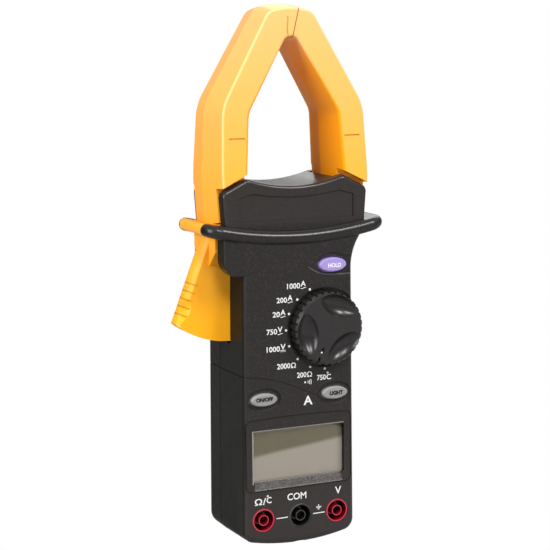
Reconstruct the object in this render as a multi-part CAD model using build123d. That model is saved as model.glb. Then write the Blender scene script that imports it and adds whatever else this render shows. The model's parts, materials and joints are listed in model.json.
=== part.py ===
from build123d import *
import os
from math import atan, cos, degrees, hypot, radians, sin

# Hand-held clamp meter, jaws up. Millimetres.
# X runs to the user's right, Z runs from the input sockets up to the jaws and the front faces -Y.
# The origin is on the flat back, on the centre line, level with the input sockets.
# A "depth" is measured backwards from the front face, so the flat back is at depth BODY_DEPTH.

# --- Body ---
BODY_DEPTH = 41.0
BODY_WIDTH = 56.0
BODY_FOOT = 13.5          # sockets down to the lowest point of the body
FOOT_ARCH = 3.7           # rise of the bottom curve at the side walls
FOOT_CORNER = 6.5
GUARD_HEIGHT = 128.0      # top of the body, hidden in the barrier rail
NECK_HEIGHT = GUARD_HEIGHT - 17.0   # where the sides start to flare out
SIDE_DRAFT = 0.9          # each side wall leans in by this much up to the neck
FRONT_EDGE = 3.0
BACK_EDGE = 2.8
WALL = 2.0
SEAM_DEPTH = 26.5         # joint between the front and rear shells
SEAM_REVEAL = 0.4         # width and depth of the groove along the joint
FRONT_LEAN = 0.7          # the front shell narrows by this on each side from the joint forwards
SHOULDER_HALF = 35.6
SHOULDER_BACK_HALF = 34.0
SHOULDER_HEIGHT = GUARD_HEIGHT - 18.0
SHOULDER_CORNER = 8.0
SHOULDER_STEP = 0.6       # the shoulder lies this far behind the front face

# --- Barrier rail round the neck ---
GUARD_DROP = 1.8          # the rail's middle lies this much below the pivot
GUARD_RISE = 5.6          # the rail's ends stand this much above its middle
GUARD_HALF = 43.5
GUARD_THICK = 6.0
GUARD_PROUD = 1.5         # in front of the front face
GUARD_SET_IN = 0.5        # in front of the flat back
GUARD_CORNER = 8.0

# --- Collar that holds the jaws ---
COLLAR_FRONT = 2.5
COLLAR_EDGE = 1.6
COLLAR_LOW_HALF = 33.6
COLLAR_TOP_HALF = 35.0
COLLAR_CORNER_RISE = 19.0   # guard to the collar's outer corners
COLLAR_PEAK_HALF = 23.0
COLLAR_PEAK_RISE = 24.9     # guard to the two peaks
COLLAR_DIP = 3.9
COLLAR_CORNER = 3.5
PLATE_BACK = 7.7            # depth of the inside face of the collar's front plate
PLAQUE_HALF = 28.0
PLAQUE_LOW = 6.0
PLAQUE_HIGH = 16.4
PLAQUE_INSET = 0.5

# --- Jaws ---
JAW_FRONT = 2.0           # depth of the front face at the collar
JAW_LEAN = 5.6            # the front face falls back by this much from the collar to the crown
JAW_DRAFT = 2.8           # the sides lean in by this much from the mould line to the front face
JAW_BACK = 34.8           # depth of the rear face
JAW_BACK_DRAFT = 1.6
JAW_BACK_LEAN = 3.4       # the rear face leans forward by this much up to the crown
NECK_THICK = 25.0
LEG_OUT = 38.0
LEG_FOOT_OUT = 36.6
LEG_IN = 21.8
BEND_OUT = 36.2
BEND_OUT_RISE = 56.6      # guard to the outer bend
BEND_IN = 19.1
BEND_IN_RISE = 52.3
CROWN_OUT = 11.8
CROWN_RISE = 98.6
CROWN_ARCH = 2.3
APEX_HALF = 1.4
APEX_RISE = 83.7
OUTER_BEND_RADIUS = 24.0
INNER_BEND_RADIUS = 10.0
CROWN_RADIUS = 8.0
JAW_EDGE = 1.3
JAW_GAP = 0.2             # between the closed jaw faces
LEDGE_RISE = 2.2          # collar edge up to the ledge of the jaw
MARK_WIDTH = 0.6
MARK_DEPTH = 0.5
MARK_RISE = 42.3
MARK_LENGTH = 7.5
CORE_COVER = 3.7          # plastic outside the magnetic core
CORE_THICK = 14.0
COIL_WALL = 1.2
COIL_TALL = 22.0
COIL_RISE = 30.0
FOOT_RISE = 4.0           # guard to the foot of the fixed jaw

# --- Pivot and trigger ---
PIVOT_X = -23.0
PIN_RADIUS = 2.0
PIN_CLEARANCE = 0.05
HUB_RADIUS = 7.0
TRIGGER_THICK = 10.0
TRIGGER_CROWN = 2.4
TRIGGER_TOP_OUT = 40.7
TRIGGER_TOP_DROP = 8.0    # pivot down to the top of the slanting grip
TRIGGER_TIP_OUT = 52.6
TRIGGER_TIP_DROP = 39.0
TRIGGER_FOOT_DROP = 48.1
TRIGGER_BELLY = 2.8       # sag of the foot's curve below the line from tip to heel
TRIGGER_HEEL = 25.5       # centre line to the trigger's inner edge
TRIGGER_WALL = 2.2
RAMP_HIGH = 7.0           # pivot down to where the neck starts to thin towards the trigger
RAMP_LOW = 14.0
GRIP_RIBS = 5
GRIP_PITCH = 3.6
GRIP_GROOVE = 0.35
GRIP_LENGTH = 7.0         # length of each groove across the grip
THUMB_RADIUS = 9.0
THUMB_DEPTH = 1.6         # bite of the thumb scoops into the edges of the grip
THUMB_DROP = 26.0         # along the grip from its top to the middle of the scoops
HORN_DRAFT = 0.3
SPRING_WIRE = 1.0
SPRING_COIL = 3.7         # from the pivot to the middle of the spring's wire
SPRING_TURNS = 3
SPRING_REACH = 10.5

# --- Front panel ---
SOCKET_PITCH = BODY_WIDTH * 0.325
SOCKET_RADIUS = 5.5
SOCKET_LIP = 0.8
SOCKET_POST = 2.45        # radius of the thin ring that surrounds the contact's mouth
SOCKET_SLEEVE = 3.1       # radius of the insulation round the contact behind that ring
SOCKET_LENGTH = 15.0
CONTACT_BORE = 2.0
CONTACT_WALL = 0.4
CONTACT_SET_BACK = 5.0
CONTACT_LENGTH = 15.0
LCD_WIDTH = BODY_WIDTH - 11.3
LCD_TALL = 23.3
LCD_LOW = 17.4            # sockets up to the window's lower edge
LCD_OFFSET = -0.5
LCD_CORNER = 1.2
SILL_DROP = 3.6
BEZEL_SIDE = 3.6
BEZEL_TOP = 6.1
BEZEL_LOW = 4.3
BEZEL_ARCH = 0.7
BEZEL_CORNER = 3.0
GROOVE = 0.5
WINDOW_THICK = 1.0
GLASS_THICK = 2.0
LIGHT_THICK = 1.6
STACK_GAP = 0.1           # between the layers of the display
BUTTON_HEIGHT = 55.0
POWER_X = 10.4 - BODY_WIDTH / 2
LIGHT_X = BODY_WIDTH / 2 - 10.85
BUTTON_WIDTH = 12.6
BUTTON_TALL = 5.8
BUTTON_PROUD = 0.9
BUTTON_TRAVEL = 1.0
BUTTON_CLEARANCE = 0.7
BUTTON_DISH = 1.6
HOLD_X = BODY_WIDTH / 2 - 11.7
HOLD_HEIGHT = GUARD_HEIGHT - 14.7
HOLD_WIDTH = 13.3
HOLD_TALL = 6.4
HOLD_RECESS_LEFT = 11.7
HOLD_RECESS_HALF = 4.2
HOLD_RECESS_DEPTH = 0.8
WAVE_CREST = 10.6         # buttons up to the highest point of the rolling line
WAVE_DEPTH = 0.35
SCALLOP_RADIUS = 9.0      # shallow bite in the foot below the middle socket
SCALLOP_DEPTH = 1.5

# --- Selector ---
KNOB_X = 12.34
KNOB_HEIGHT = 85.4
KNOB_RADIUS = 16.5
KNOB_PROUD = 5.8
KNOB_BEVEL = 1.3
KNOB_NOTCHES = 32
KNOB_NOTCH_WIDTH = 1.1
KNOB_NOTCH_DEPTH = 0.6
WELL_DEPTH = 1.7
WELL_CLEARANCE = 1.6
SCOOP_LENGTH = 22.0
SCOOP_RADIUS = 5.4
SCOOP_REACH = 10.9
SCOOP_LIFT = 2.0          # the scoops' axes lie this much in front of the knob's face
POINTER_ANGLE = 247.5
POCKET_IN = 8.9           # the pointer's pocket lies between these distances from the axis
POCKET_OUT = 11.7
POCKET_WIDTH = 1.0
POCKET_DEPTH = 0.5
DOT_REACH = 11.1
DOT_RADIUS = 0.4
RIM_SLOT_IN = 13.4
RIM_SLOT_OUT = 15.9
RIM_SLOT_DEPTH = 1.0
KNOB_SHAFT = 4.0
ROTOR_RADIUS = 11.0
ROTOR_THICK = 2.2

# --- Inside ---
BOARD_DEPTH = 9.0
BOARD_THICK = 1.6
BOARD_HALF = BODY_WIDTH / 2 - WALL - 2.0
BOARD_LOW = 7.5
BOARD_HIGH = SHOULDER_HEIGHT - 3.5
BOARD_TAB_HIGH = HOLD_HEIGHT + 5.2
BOARD_TAB_LEFT = 6.0
BATTERY_WIDTH = 26.5
BATTERY_THICK = 17.5
BATTERY_TALL = 46.4
TERMINAL_TALL = 2.3
CONTACT_STRIP = 0.3        # thickness of the bent contact strips
STRIP_WIDTH = 3.0
BATTERY_LOW = 7.5
COVER_WIDTH = 34.0
COVER_LOW = 4.5
COVER_TALL = 60.0
COVER_THICK = 2.0
FIT = 0.3                 # play between parts that are laid into each other
SCREW_RADIUS = 1.4
SCREW_HEAD = 2.6
BOSS_RADIUS = 3.2
CASE_SCREW_LOW = -1.0     # height of the two lower case screws
HEAD_TALL = 1.4
CHIP_SIZE = 12.0
CHIP_THICK = 1.6
BUZZER_RADIUS = 6.0
BUZZER_TALL = 6.0
POST_SIDES = 12           # sides of the posts and screws that nobody sees

MID_DEPTH = BODY_DEPTH / 2
NECK_FRONT = MID_DEPTH - NECK_THICK / 2
TRIGGER_FRONT = MID_DEPTH - TRIGGER_THICK / 2
PIVOT_Z = GUARD_HEIGHT
FAR = 300.0               # longer than anything in the model
FRONT_FACE = (JAW_FRONT, JAW_DRAFT, JAW_LEAN)
BACK_FACE = (BODY_DEPTH - JAW_BACK, JAW_BACK_DRAFT, JAW_BACK_LEAN)


# ---------------------------------------------------------------- helpers
def upright(depth):
    """Plane at a depth behind the front face, with X to the right and Z up."""
    return Plane.XZ.offset(BODY_DEPTH - depth)


def slab(outline, near, far, taper=0.0):
    """Front-view outline as a solid between two depths; a taper narrows it towards the front."""
    return extrude(upright(far) * outline, far - near, taper=taper)


def rounded(*corners):
    """Closed front-view outline through corners given as (x, z, radius)."""
    points = [(x, z) for x, z, _ in corners]
    return make_face(FilletPolyline(*points, radius=[radius for *_, radius in corners], close=True))


def block(left, right, low, high, near, far):
    """Plain box between sides, heights and depths."""
    outline = Pos((left + right) / 2, (low + high) / 2) * Rectangle(right - left, high - low)
    return slab(outline, near, far)


def disc(x, z, radius, near, far):
    """Round slab with its axis along the depth."""
    return slab(Pos(x, z) * Circle(radius), near, far)


def tube(x, z, radius, bore, near, far):
    """Round slab with a through hole."""
    return disc(x, z, radius, near, far) - disc(x, z, bore, near, far)


def peg(x, z, radius, near, far):
    """Many-sided post for places inside the case."""
    return slab(Pos(x, z) * RegularPolygon(radius, POST_SIDES), near, far)


def facing_back(shape):
    """Copy of a shape turned front to back about the middle of the body's depth."""
    return mirror(shape, about=upright(MID_DEPTH))


# ---------------------------------------------------------------- outlines
def body_outline(inset=0.0):
    """Front view of the body: curved foot, leaning sides and flared neck."""
    half = BODY_WIDTH / 2
    neck = half - SIDE_DRAFT
    foot = -BODY_FOOT + FOOT_ARCH
    edges = [ThreePointArc((-half, foot), (0, -BODY_FOOT), (half, foot))]
    for side in (1, -1):
        edges += [
            Line((side * half, foot), (side * neck, NECK_HEIGHT)),
            TangentArc(
                (side * neck, NECK_HEIGHT),
                (side * COLLAR_LOW_HALF, GUARD_HEIGHT),
                tangent=(side * (neck - half), NECK_HEIGHT - foot),
            ),
        ]
    edges.append(Line((-COLLAR_LOW_HALF, GUARD_HEIGHT), (COLLAR_LOW_HALF, GUARD_HEIGHT)))
    face = make_face(edges)
    face = fillet(face.vertices().sort_by(Axis.Y)[:2], FOOT_CORNER)
    return offset(face, -inset, kind=Kind.INTERSECTION) if inset else face


def shoulder_outline(half):
    """Front view of a shoulder that covers the moving jaw below the rail, as far out as half."""
    return rounded(
        (-half, SHOULDER_HEIGHT, SHOULDER_CORNER),
        (-BODY_WIDTH / 3, SHOULDER_HEIGHT, 0),
        (-BODY_WIDTH / 3, GUARD_HEIGHT, 0),
        (-half, GUARD_HEIGHT, 0),
    )


def collar_outline():
    """Front view of the collar: leaning sides, sloping corners and a dip between two peaks."""
    corner = GUARD_HEIGHT + COLLAR_CORNER_RISE
    peak = GUARD_HEIGHT + COLLAR_PEAK_RISE
    edges = [
        Polyline(
            (-COLLAR_PEAK_HALF, peak),
            (-COLLAR_TOP_HALF, corner),
            (-COLLAR_LOW_HALF, GUARD_HEIGHT),
            (COLLAR_LOW_HALF, GUARD_HEIGHT),
            (COLLAR_TOP_HALF, corner),
            (COLLAR_PEAK_HALF, peak),
        ),
        ThreePointArc((COLLAR_PEAK_HALF, peak), (0, peak - COLLAR_DIP), (-COLLAR_PEAK_HALF, peak)),
    ]
    face = make_face(edges)
    return fillet(face.vertices().filter_by(lambda v: v.Y > GUARD_HEIGHT + 1), COLLAR_CORNER)


def guard_outline(inset=0.0):
    """Front view of the rail: a band of even thickness along a shallow upward curve."""
    reach = GUARD_HALF + GUARD_CORNER
    rise = GUARD_RISE * (reach / GUARD_HALF) ** 2
    half = GUARD_THICK / 2 - inset
    middle = GUARD_HEIGHT - GUARD_DROP
    low, high = middle - half, middle + half
    return make_face([
        ThreePointArc((-reach, low + rise), (0, low), (reach, low + rise)),
        Line((reach, low + rise), (reach, high + rise)),
        ThreePointArc((reach, high + rise), (0, high), (-reach, high + rise)),
        Line((-reach, high + rise), (-reach, low + rise)),
    ])


def arch_outline(inset=0.0):
    """Front view of both jaws together at the mould line, as one closed arch."""
    base = GUARD_HEIGHT
    foot = base + FOOT_RISE
    bend_out, bend_in = base + BEND_OUT_RISE, base + BEND_IN_RISE
    crown, apex = base + CROWN_RISE, base + APEX_RISE
    leg_top = base + COLLAR_PEAK_RISE
    left = [
        (-LEG_IN, foot, 0),
        (-LEG_FOOT_OUT, foot, 0),
        (-LEG_OUT, leg_top, FAR / 3),
        (-BEND_OUT, bend_out, OUTER_BEND_RADIUS),
        (-CROWN_OUT, crown, CROWN_RADIUS),
    ]
    right = [(-x, z, radius) for x, z, radius in reversed(left)]
    inner = [
        (BEND_IN, bend_in, INNER_BEND_RADIUS),
        (APEX_HALF, apex, APEX_HALF),
        (-APEX_HALF, apex, APEX_HALF),
        (-BEND_IN, bend_in, INNER_BEND_RADIUS),
    ]
    arch = rounded(*left, (0, crown + CROWN_ARCH, CROWN_OUT * 2), *right, *inner)
    return offset(arch, -inset, kind=Kind.INTERSECTION) if inset else arch


def neck_zone():
    """Front-view region below the ledges, where the jaws are thinned to go between the plates."""
    slope = (COLLAR_PEAK_RISE - COLLAR_CORNER_RISE) / (COLLAR_TOP_HALF - COLLAR_PEAK_HALF)
    middle = GUARD_HEIGHT + COLLAR_PEAK_RISE + LEDGE_RISE + slope * COLLAR_PEAK_HALF
    reach = GUARD_HALF * 2
    sides = (reach, middle - slope * reach), (reach, 0), (-reach, 0), (-reach, middle - slope * reach)
    return make_face(Polyline((0, middle), *sides, close=True))


def wave_outline():
    """Front view of the thin line that rolls across the body below the selector."""
    crest = BUTTON_HEIGHT + WAVE_CREST
    half = BODY_WIDTH / 2
    path = [(-half * 1.4, -0.4), (-half * 0.8, 0), (-half * 0.28, -3.5), (half * 0.29, -10.6), (half * 1.4, -8)]
    upper = Spline(*[(x, crest + drop) for x, drop in path])
    lower = Spline(*[(x, crest + drop - GROOVE) for x, drop in path])
    return make_face([upper, lower, Line(upper @ 0, lower @ 0), Line(upper @ 1, lower @ 1)])


def trigger_belly():
    """Middle of the trigger's curved foot, as (x, z)."""
    drop = (TRIGGER_TIP_DROP + TRIGGER_FOOT_DROP) / 2 + TRIGGER_BELLY
    return -(TRIGGER_TIP_OUT + TRIGGER_HEEL) / 2, PIVOT_Z - drop


def trigger_outline():
    """Front view of the trigger: slanting grip, curved foot and the heel inside the body."""
    top = PIVOT_Z - TRIGGER_TOP_DROP
    tip = (-TRIGGER_TIP_OUT, PIVOT_Z - TRIGGER_TIP_DROP)
    heel = (-TRIGGER_HEEL, PIVOT_Z - TRIGGER_FOOT_DROP)
    face = make_face([
        Polyline(heel, (PIVOT_X, top - TRIGGER_TOP_DROP), (PIVOT_X, PIVOT_Z), (-TRIGGER_TOP_OUT, PIVOT_Z)),
        Polyline((-TRIGGER_TOP_OUT, PIVOT_Z), (-TRIGGER_TOP_OUT, top), tip),
        ThreePointArc(tip, trigger_belly(), heel),
    ])
    tip_corner = face.vertices().sort_by(Axis.X)[0]
    return fillet(tip_corner, TRIGGER_WALL)


# ---------------------------------------------------------------- outer forms
def body_slabs(inset):
    """The body's sharp-edged form: even behind the joint of the shells, leaning in before it."""
    lean = degrees(atan(FRONT_LEAN / SEAM_DEPTH))
    outline = body_outline(inset)
    return slab(outline, SEAM_DEPTH, BODY_DEPTH - inset) + slab(outline, inset, SEAM_DEPTH, taper=lean)


def body_block(inset=0.0):
    """The body without its collar and rail, all edges rounded but those under the rail."""
    solid = body_slabs(inset)
    top = solid.bounding_box().max.Z
    for place, radius in ((0, FRONT_EDGE), (-1, BACK_EDGE)):
        rim = solid.faces().sort_by(Axis.Y)[place].edges()
        solid = fillet(rim.filter_by(lambda e: e.center().Z < top - WALL), radius - inset)
    return solid


def shoulder_block(half):
    """One shoulder plate with its outer edge rounded."""
    plate = slab(shoulder_outline(half), SHOULDER_STEP, PLATE_BACK)
    rim = plate.faces().sort_by(Axis.Y)[0].edges().filter_by(lambda e: e.center().X < -BODY_WIDTH / 2)
    return fillet(rim, COLLAR_EDGE)


def collar_block():
    """The collar with both its rims rounded."""
    solid = slab(collar_outline(), COLLAR_FRONT, BODY_DEPTH - COLLAR_FRONT)
    rims = solid.faces().sort_by(Axis.Y)
    return fillet(rims[0].edges() + rims[-1].edges(), COLLAR_EDGE)


def guard_block():
    """The rail all round the neck, with a rounded edge."""
    near, far = -GUARD_PROUD, BODY_DEPTH - GUARD_SET_IN
    plan = Pos(0, (near + far) / 2 - BODY_DEPTH) * RectangleRounded(2 * GUARD_HALF, far - near, GUARD_CORNER)
    rail = slab(guard_outline(), near - 1, far + 1) & extrude(plan, FAR)
    rims = rail.edges().filter_by(lambda e: abs(e.tangent_at(0.5).Z) < 0.5)
    return fillet(rims, GUARD_THICK / 2 - 0.1)


# ---------------------------------------------------------------- shells
def jaw_bay():
    """Room between the plates for the leg, the hub and the trigger of the moving jaw."""
    near = NECK_FRONT - FIT
    far = BODY_DEPTH - near
    low = SHOULDER_HEIGHT - 2 * FIT
    inner = [(-x, z) for x, z in leg_edge(2 * FIT)]
    corners = [(-LEG_IN + 2 * FIT, low), *inner, (-FAR, FAR), (-FAR, low)]
    bay = slab(make_face(Polyline(*corners, close=True)), near, far)
    bay += disc(PIVOT_X, PIVOT_Z, HUB_RADIUS + FIT, near, far)
    belly = trigger_belly()
    reach = hypot(belly[0] - PIVOT_X, belly[1] - PIVOT_Z) + 1.5 * FIT
    near = TRIGGER_FRONT - FIT
    slot = block(-FAR, PIVOT_X, PIVOT_Z - reach, PIVOT_Z, near, BODY_DEPTH - near)
    return bay + slot


def leg_edge(play):
    """Lower and upper ends of a leg's inner side at the mould line, moved inwards by some play."""
    return (LEG_IN - play, GUARD_HEIGHT + FOOT_RISE), (BEND_IN - play, GUARD_HEIGHT + BEND_IN_RISE)


def foot_outline(play=0.0):
    """Front view of the fixed jaw's foot, which stands in a pocket of the collar."""
    lean = (COLLAR_TOP_HALF - COLLAR_LOW_HALF) / COLLAR_CORNER_RISE
    foot = GUARD_HEIGHT + FOOT_RISE
    top = GUARD_HEIGHT + COLLAR_CORNER_RISE - COLLAR_EDGE
    side = COLLAR_LOW_HALF - WALL - FIT
    return make_face(Polyline(
        leg_edge(play)[1],
        (LEG_IN - play, foot - play),
        (side + lean * FOOT_RISE + play, foot - play),
        (side + lean * (top - GUARD_HEIGHT) + play, top),
        (FAR, top),
        (FAR, FAR),
        close=True,
    ))


def casing():
    """Both shells as one: body, shoulders, collar and rail, hollow, with the jaws' room cut out."""
    solid = body_block() - body_slabs(WALL)
    solid += shoulder_block(SHOULDER_HALF)
    solid += facing_back(shoulder_block(SHOULDER_BACK_HALF))
    solid += guard_block()
    solid += collar_block()
    room = PLATE_BACK - WALL
    half = LEG_IN - WALL - 2 * FIT
    top = GUARD_HEIGHT + COLLAR_PEAK_RISE - COLLAR_DIP - WALL
    solid -= block(-half, half, GUARD_HEIGHT - GUARD_THICK, top, room, BODY_DEPTH - room)
    solid -= jaw_bay()
    near = NECK_FRONT - FIT
    solid -= slab(foot_outline(FIT), near, BODY_DEPTH - near)
    near = PLATE_BACK - WALL * 2
    return solid - disc(PIVOT_X, PIVOT_Z, PIN_RADIUS, near, BODY_DEPTH - near)


def wave_groove():
    """Tool for the thin line that runs round the body, as deep as WAVE_DEPTH on every side."""
    strip = slab(wave_outline(), -1, BODY_DEPTH + 1)
    return strip - body_block(WAVE_DEPTH)


def seam_groove():
    """Tool for the groove along the joint of the two shells."""
    ring = slab(body_outline(-1), SEAM_DEPTH, SEAM_DEPTH + SEAM_REVEAL)
    ring -= slab(body_outline(SEAM_REVEAL), SEAM_DEPTH, SEAM_DEPTH + SEAM_REVEAL)
    return ring & block(-FAR, FAR, -FAR, SHOULDER_HEIGHT, 0, BODY_DEPTH)


def lcd_centre():
    """Centre of the display window, as (x, z)."""
    return LCD_OFFSET, LCD_LOW + LCD_TALL / 2


def window_cut():
    """Tool for the display opening, with a long slope below the glass."""
    x, z = lcd_centre()
    cut = slab(Pos(x, z) * RectangleRounded(LCD_WIDTH, LCD_TALL, LCD_CORNER), -1, WALL + 1)
    half = LCD_WIDTH / 2 - LCD_CORNER / 2
    slope = extrude(
        Plane.YZ.offset(x - half) * make_face(Polyline(
            (-BODY_DEPTH, LCD_LOW - SILL_DROP),
            (-BODY_DEPTH, LCD_LOW + 1),
            (WALL - BODY_DEPTH, LCD_LOW + 1),
            (WALL - BODY_DEPTH, LCD_LOW),
            close=True,
        )),
        2 * half,
    )
    return cut + slope


def bezel_groove():
    """Tool for the fine groove that frames the display, arched along its top."""
    x, z = lcd_centre()
    left, right = x - LCD_WIDTH / 2 - BEZEL_SIDE, x + LCD_WIDTH / 2 + BEZEL_SIDE
    low, high = LCD_LOW - BEZEL_LOW, LCD_LOW + LCD_TALL + BEZEL_TOP
    frame = make_face([
        Polyline((left, high - BEZEL_ARCH), (left, low), (right, low), (right, high - BEZEL_ARCH)),
        ThreePointArc((right, high - BEZEL_ARCH), (x, high), (left, high - BEZEL_ARCH)),
    ])
    frame = fillet(frame.vertices(), BEZEL_CORNER)
    return slab(frame - offset(frame, -GROOVE), -1, FRONT_EDGE) - body_block(WAVE_DEPTH)


def buttons():
    """Place and size of the three buttons: name, x, z, width and height."""
    return (
        ("power", POWER_X, BUTTON_HEIGHT, BUTTON_WIDTH, BUTTON_TALL),
        ("light", LIGHT_X, BUTTON_HEIGHT, BUTTON_WIDTH, BUTTON_TALL),
        ("hold", HOLD_X, HOLD_HEIGHT, HOLD_WIDTH, HOLD_TALL),
    )


def oval(x, z, width, tall, margin=0.0):
    """Ellipse in the front view, grown by a margin."""
    return Pos(x, z) * Ellipse(width / 2 + margin, tall / 2 + margin)


def button_cut(x, z, width, tall):
    """Tool for a button's hole with a dished rim round it."""
    hole = slab(oval(x, z, width, tall, BUTTON_CLEARANCE), -1, WALL + 1)
    wide = upright(0) * oval(x, z, width, tall, BUTTON_CLEARANCE + BUTTON_DISH)
    narrow = upright(HOLD_RECESS_DEPTH) * oval(x, z, width, tall, BUTTON_CLEARANCE + BUTTON_DISH / 2)
    return hole + loft([wide, narrow])


def hold_recess():
    """Tool for the almond-shaped recess round the upper button, open to the body's right edge."""
    tip = HOLD_X - HOLD_RECESS_LEFT
    half = HOLD_RECESS_HALF
    low, high = HOLD_HEIGHT - half, HOLD_HEIGHT + half
    face = make_face([
        Line((BODY_WIDTH, low), (HOLD_X, low)),
        TangentArc((HOLD_X, low), (tip, HOLD_HEIGHT), tangent=(-1, 0)),
        TangentArc((HOLD_X, high), (tip, HOLD_HEIGHT), tangent=(-1, 0)),
        Line((HOLD_X, high), (BODY_WIDTH, high)),
        Line((BODY_WIDTH, high), (BODY_WIDTH, low)),
    ])
    return slab(face, -1, HOLD_RECESS_DEPTH)


def sockets():
    """The three input sockets: name and x."""
    return ("ohm", -SOCKET_PITCH), ("com", 0.0), ("volt", SOCKET_PITCH)


def screw_spots():
    """Centres of the four case screws, as (x, z)."""
    low = (SOCKET_PITCH / 2, CASE_SCREW_LOW)
    high = (LEG_IN - WALL * 2 - BOSS_RADIUS * 1.5, GUARD_HEIGHT + COLLAR_CORNER_RISE / 2)
    return [(side * x, z) for x, z in (low, high) for side in (-1, 1)]


def selector_seat():
    """Floor under the selector's well, with the ring that the detent balls run in."""
    x, z = KNOB_X, KNOB_HEIGHT
    far = WELL_DEPTH + WALL * 0.8
    floor = disc(x, z, KNOB_RADIUS + WELL_CLEARANCE + WALL, WALL / 2, far)
    floor += tube(x, z, ROTOR_RADIUS + WALL, ROTOR_RADIUS + FIT, far, far + ROTOR_THICK + FIT)
    return floor & body_block(FIT)


def front_shell():
    """Front half of the case."""
    solid = casing() & block(-FAR, FAR, -FAR, FAR, -FAR, SEAM_DEPTH)
    solid += selector_seat()
    for x, z in screw_spots():
        near = WALL if z < GUARD_HEIGHT else PLATE_BACK - WALL
        solid += peg(x, z, BOSS_RADIUS, near - FIT, SEAM_DEPTH)
        solid -= peg(x, z, SCREW_RADIUS, near + WALL, SEAM_DEPTH)
    solid -= disc(KNOB_X, KNOB_HEIGHT, KNOB_RADIUS + WELL_CLEARANCE, -1, WELL_DEPTH)
    solid -= disc(KNOB_X, KNOB_HEIGHT, KNOB_SHAFT + FIT, 0, BOARD_DEPTH)
    solid -= window_cut()
    solid -= bezel_groove()
    solid -= hold_recess()
    for _, x, z, width, tall in buttons():
        solid -= button_cut(x, z, width, tall)
    for _, x in sockets():
        solid -= disc(x, 0, SOCKET_RADIUS + FIT / 6, -1, WALL + 1)
    solid -= disc(0, -BODY_FOOT - SCALLOP_RADIUS + SCALLOP_DEPTH, SCALLOP_RADIUS, -1, FRONT_EDGE * 2)
    solid += spring_post()
    return solid - wave_groove() - plaque_cut()


def plaque_cut():
    """Tool for the blank shallow panel on the collar, a six-sided field that follows the collar's top."""
    low, high = GUARD_HEIGHT + PLAQUE_LOW, GUARD_HEIGHT + PLAQUE_HIGH
    face = make_face([
        Polyline(
            (-PLAQUE_HALF * 0.75, high + WALL),
            (-PLAQUE_HALF, high),
            (-PLAQUE_HALF, low),
            (PLAQUE_HALF, low),
            (PLAQUE_HALF, high),
            (PLAQUE_HALF * 0.75, high + WALL),
        ),
        ThreePointArc((PLAQUE_HALF * 0.75, high + WALL), (0, high), (-PLAQUE_HALF * 0.75, high + WALL)),
    ])
    return slab(face, 0, COLLAR_FRONT + PLAQUE_INSET)


def cover_outline(play=0.0):
    """Front view of the battery cover."""
    middle = COVER_LOW + COVER_TALL / 2
    return Pos(0, middle) * RectangleRounded(COVER_WIDTH + 2 * play, COVER_TALL + 2 * play, BEZEL_CORNER)


def battery_top():
    """Height of the inside of the battery room's upper wall."""
    return BATTERY_LOW + BATTERY_TALL + TERMINAL_TALL + CONTACT_STRIP + FIT


def battery_box():
    """Box round the battery with a ledge for the cover, and the tool that hollows it."""
    wall = WALL / 2
    near = battery_near() - FIT
    half = BATTERY_WIDTH / 2 + FIT
    low, high = BATTERY_LOW - FIT, battery_top()
    outer = block(-half - wall, half + wall, low - wall, high + wall, near - wall, BODY_DEPTH - WALL)
    outer += slab(cover_outline(WALL), cover_seat() - WALL, BODY_DEPTH - WALL)
    room = block(-half, half, low, high, near, BODY_DEPTH)
    for x in terminal_spots():
        strip = STRIP_WIDTH / 2 + FIT
        room += block(x - strip, x + strip, high - CONTACT_STRIP - FIT, high, near - wall * 2, near + wall)
    return outer, room


def cover_seat():
    """Depth of the ledge that the battery cover rests on."""
    return BODY_DEPTH - COVER_THICK - FIT / 3


def battery_near():
    """Depth of the battery's front."""
    return BODY_DEPTH - COVER_THICK - BATTERY_THICK - FIT


def terminal_spots():
    """X of the battery's two terminals."""
    return -BATTERY_WIDTH / 4, BATTERY_WIDTH / 4


def rear_shell():
    """Rear half of the case with the battery box."""
    solid = casing() & block(-FAR, FAR, -FAR, FAR, SEAM_DEPTH, FAR)
    walls, room = battery_box()
    solid += walls
    solid -= room
    solid -= slab(cover_outline(FIT), cover_seat(), BODY_DEPTH + 1)
    solid -= wave_groove()
    solid -= seam_groove()
    for x, z in screw_spots():
        back = BODY_DEPTH if z < GUARD_HEIGHT else BODY_DEPTH - COLLAR_FRONT
        solid += peg(x, z, BOSS_RADIUS, SEAM_DEPTH, back - WALL / 2)
        solid -= peg(x, z, SCREW_RADIUS, SEAM_DEPTH, FAR)
        solid -= disc(x, z, SCREW_HEAD + FIT, back - WALL * 2, FAR)
    x, z = cover_screw_spot()
    solid += peg(x, z, BOSS_RADIUS, near_cover(), cover_seat())
    return solid - peg(x, z, SCREW_RADIUS, near_cover() + WALL / 2, BODY_DEPTH)


def near_cover():
    """Depth at which the cover's screw boss starts."""
    return BODY_DEPTH - BATTERY_THICK / 2


def cover_screw_spot():
    """Centre of the battery cover's screw, as (x, z)."""
    return 0.0, COVER_LOW + COVER_TALL - BOSS_RADIUS - FIT


# ---------------------------------------------------------------- jaws
def side_zone(side, gap=JAW_GAP / 2):
    """Front-view region of one jaw: side 1 is the fixed jaw, -1 the moving jaw.

    The line between them runs from the pivot through the apex of the opening, so that the faces part
    squarely as the moving jaw swings.
    """
    apex = (0, GUARD_HEIGHT + APEX_RISE)
    along = Vector(apex[0] - PIVOT_X, apex[1] - PIVOT_Z).normalized()
    across = Vector(along.Y, -along.X) * side
    start = Vector(apex[0], apex[1]) + across * gap
    low, high = start - along * FAR, start + along * FAR
    far_low, far_high = low + across * FAR, high + across * FAR
    return make_face(Polyline(*[(p.X, p.Y) for p in (low, high, far_high, far_low)], close=True))


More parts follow.
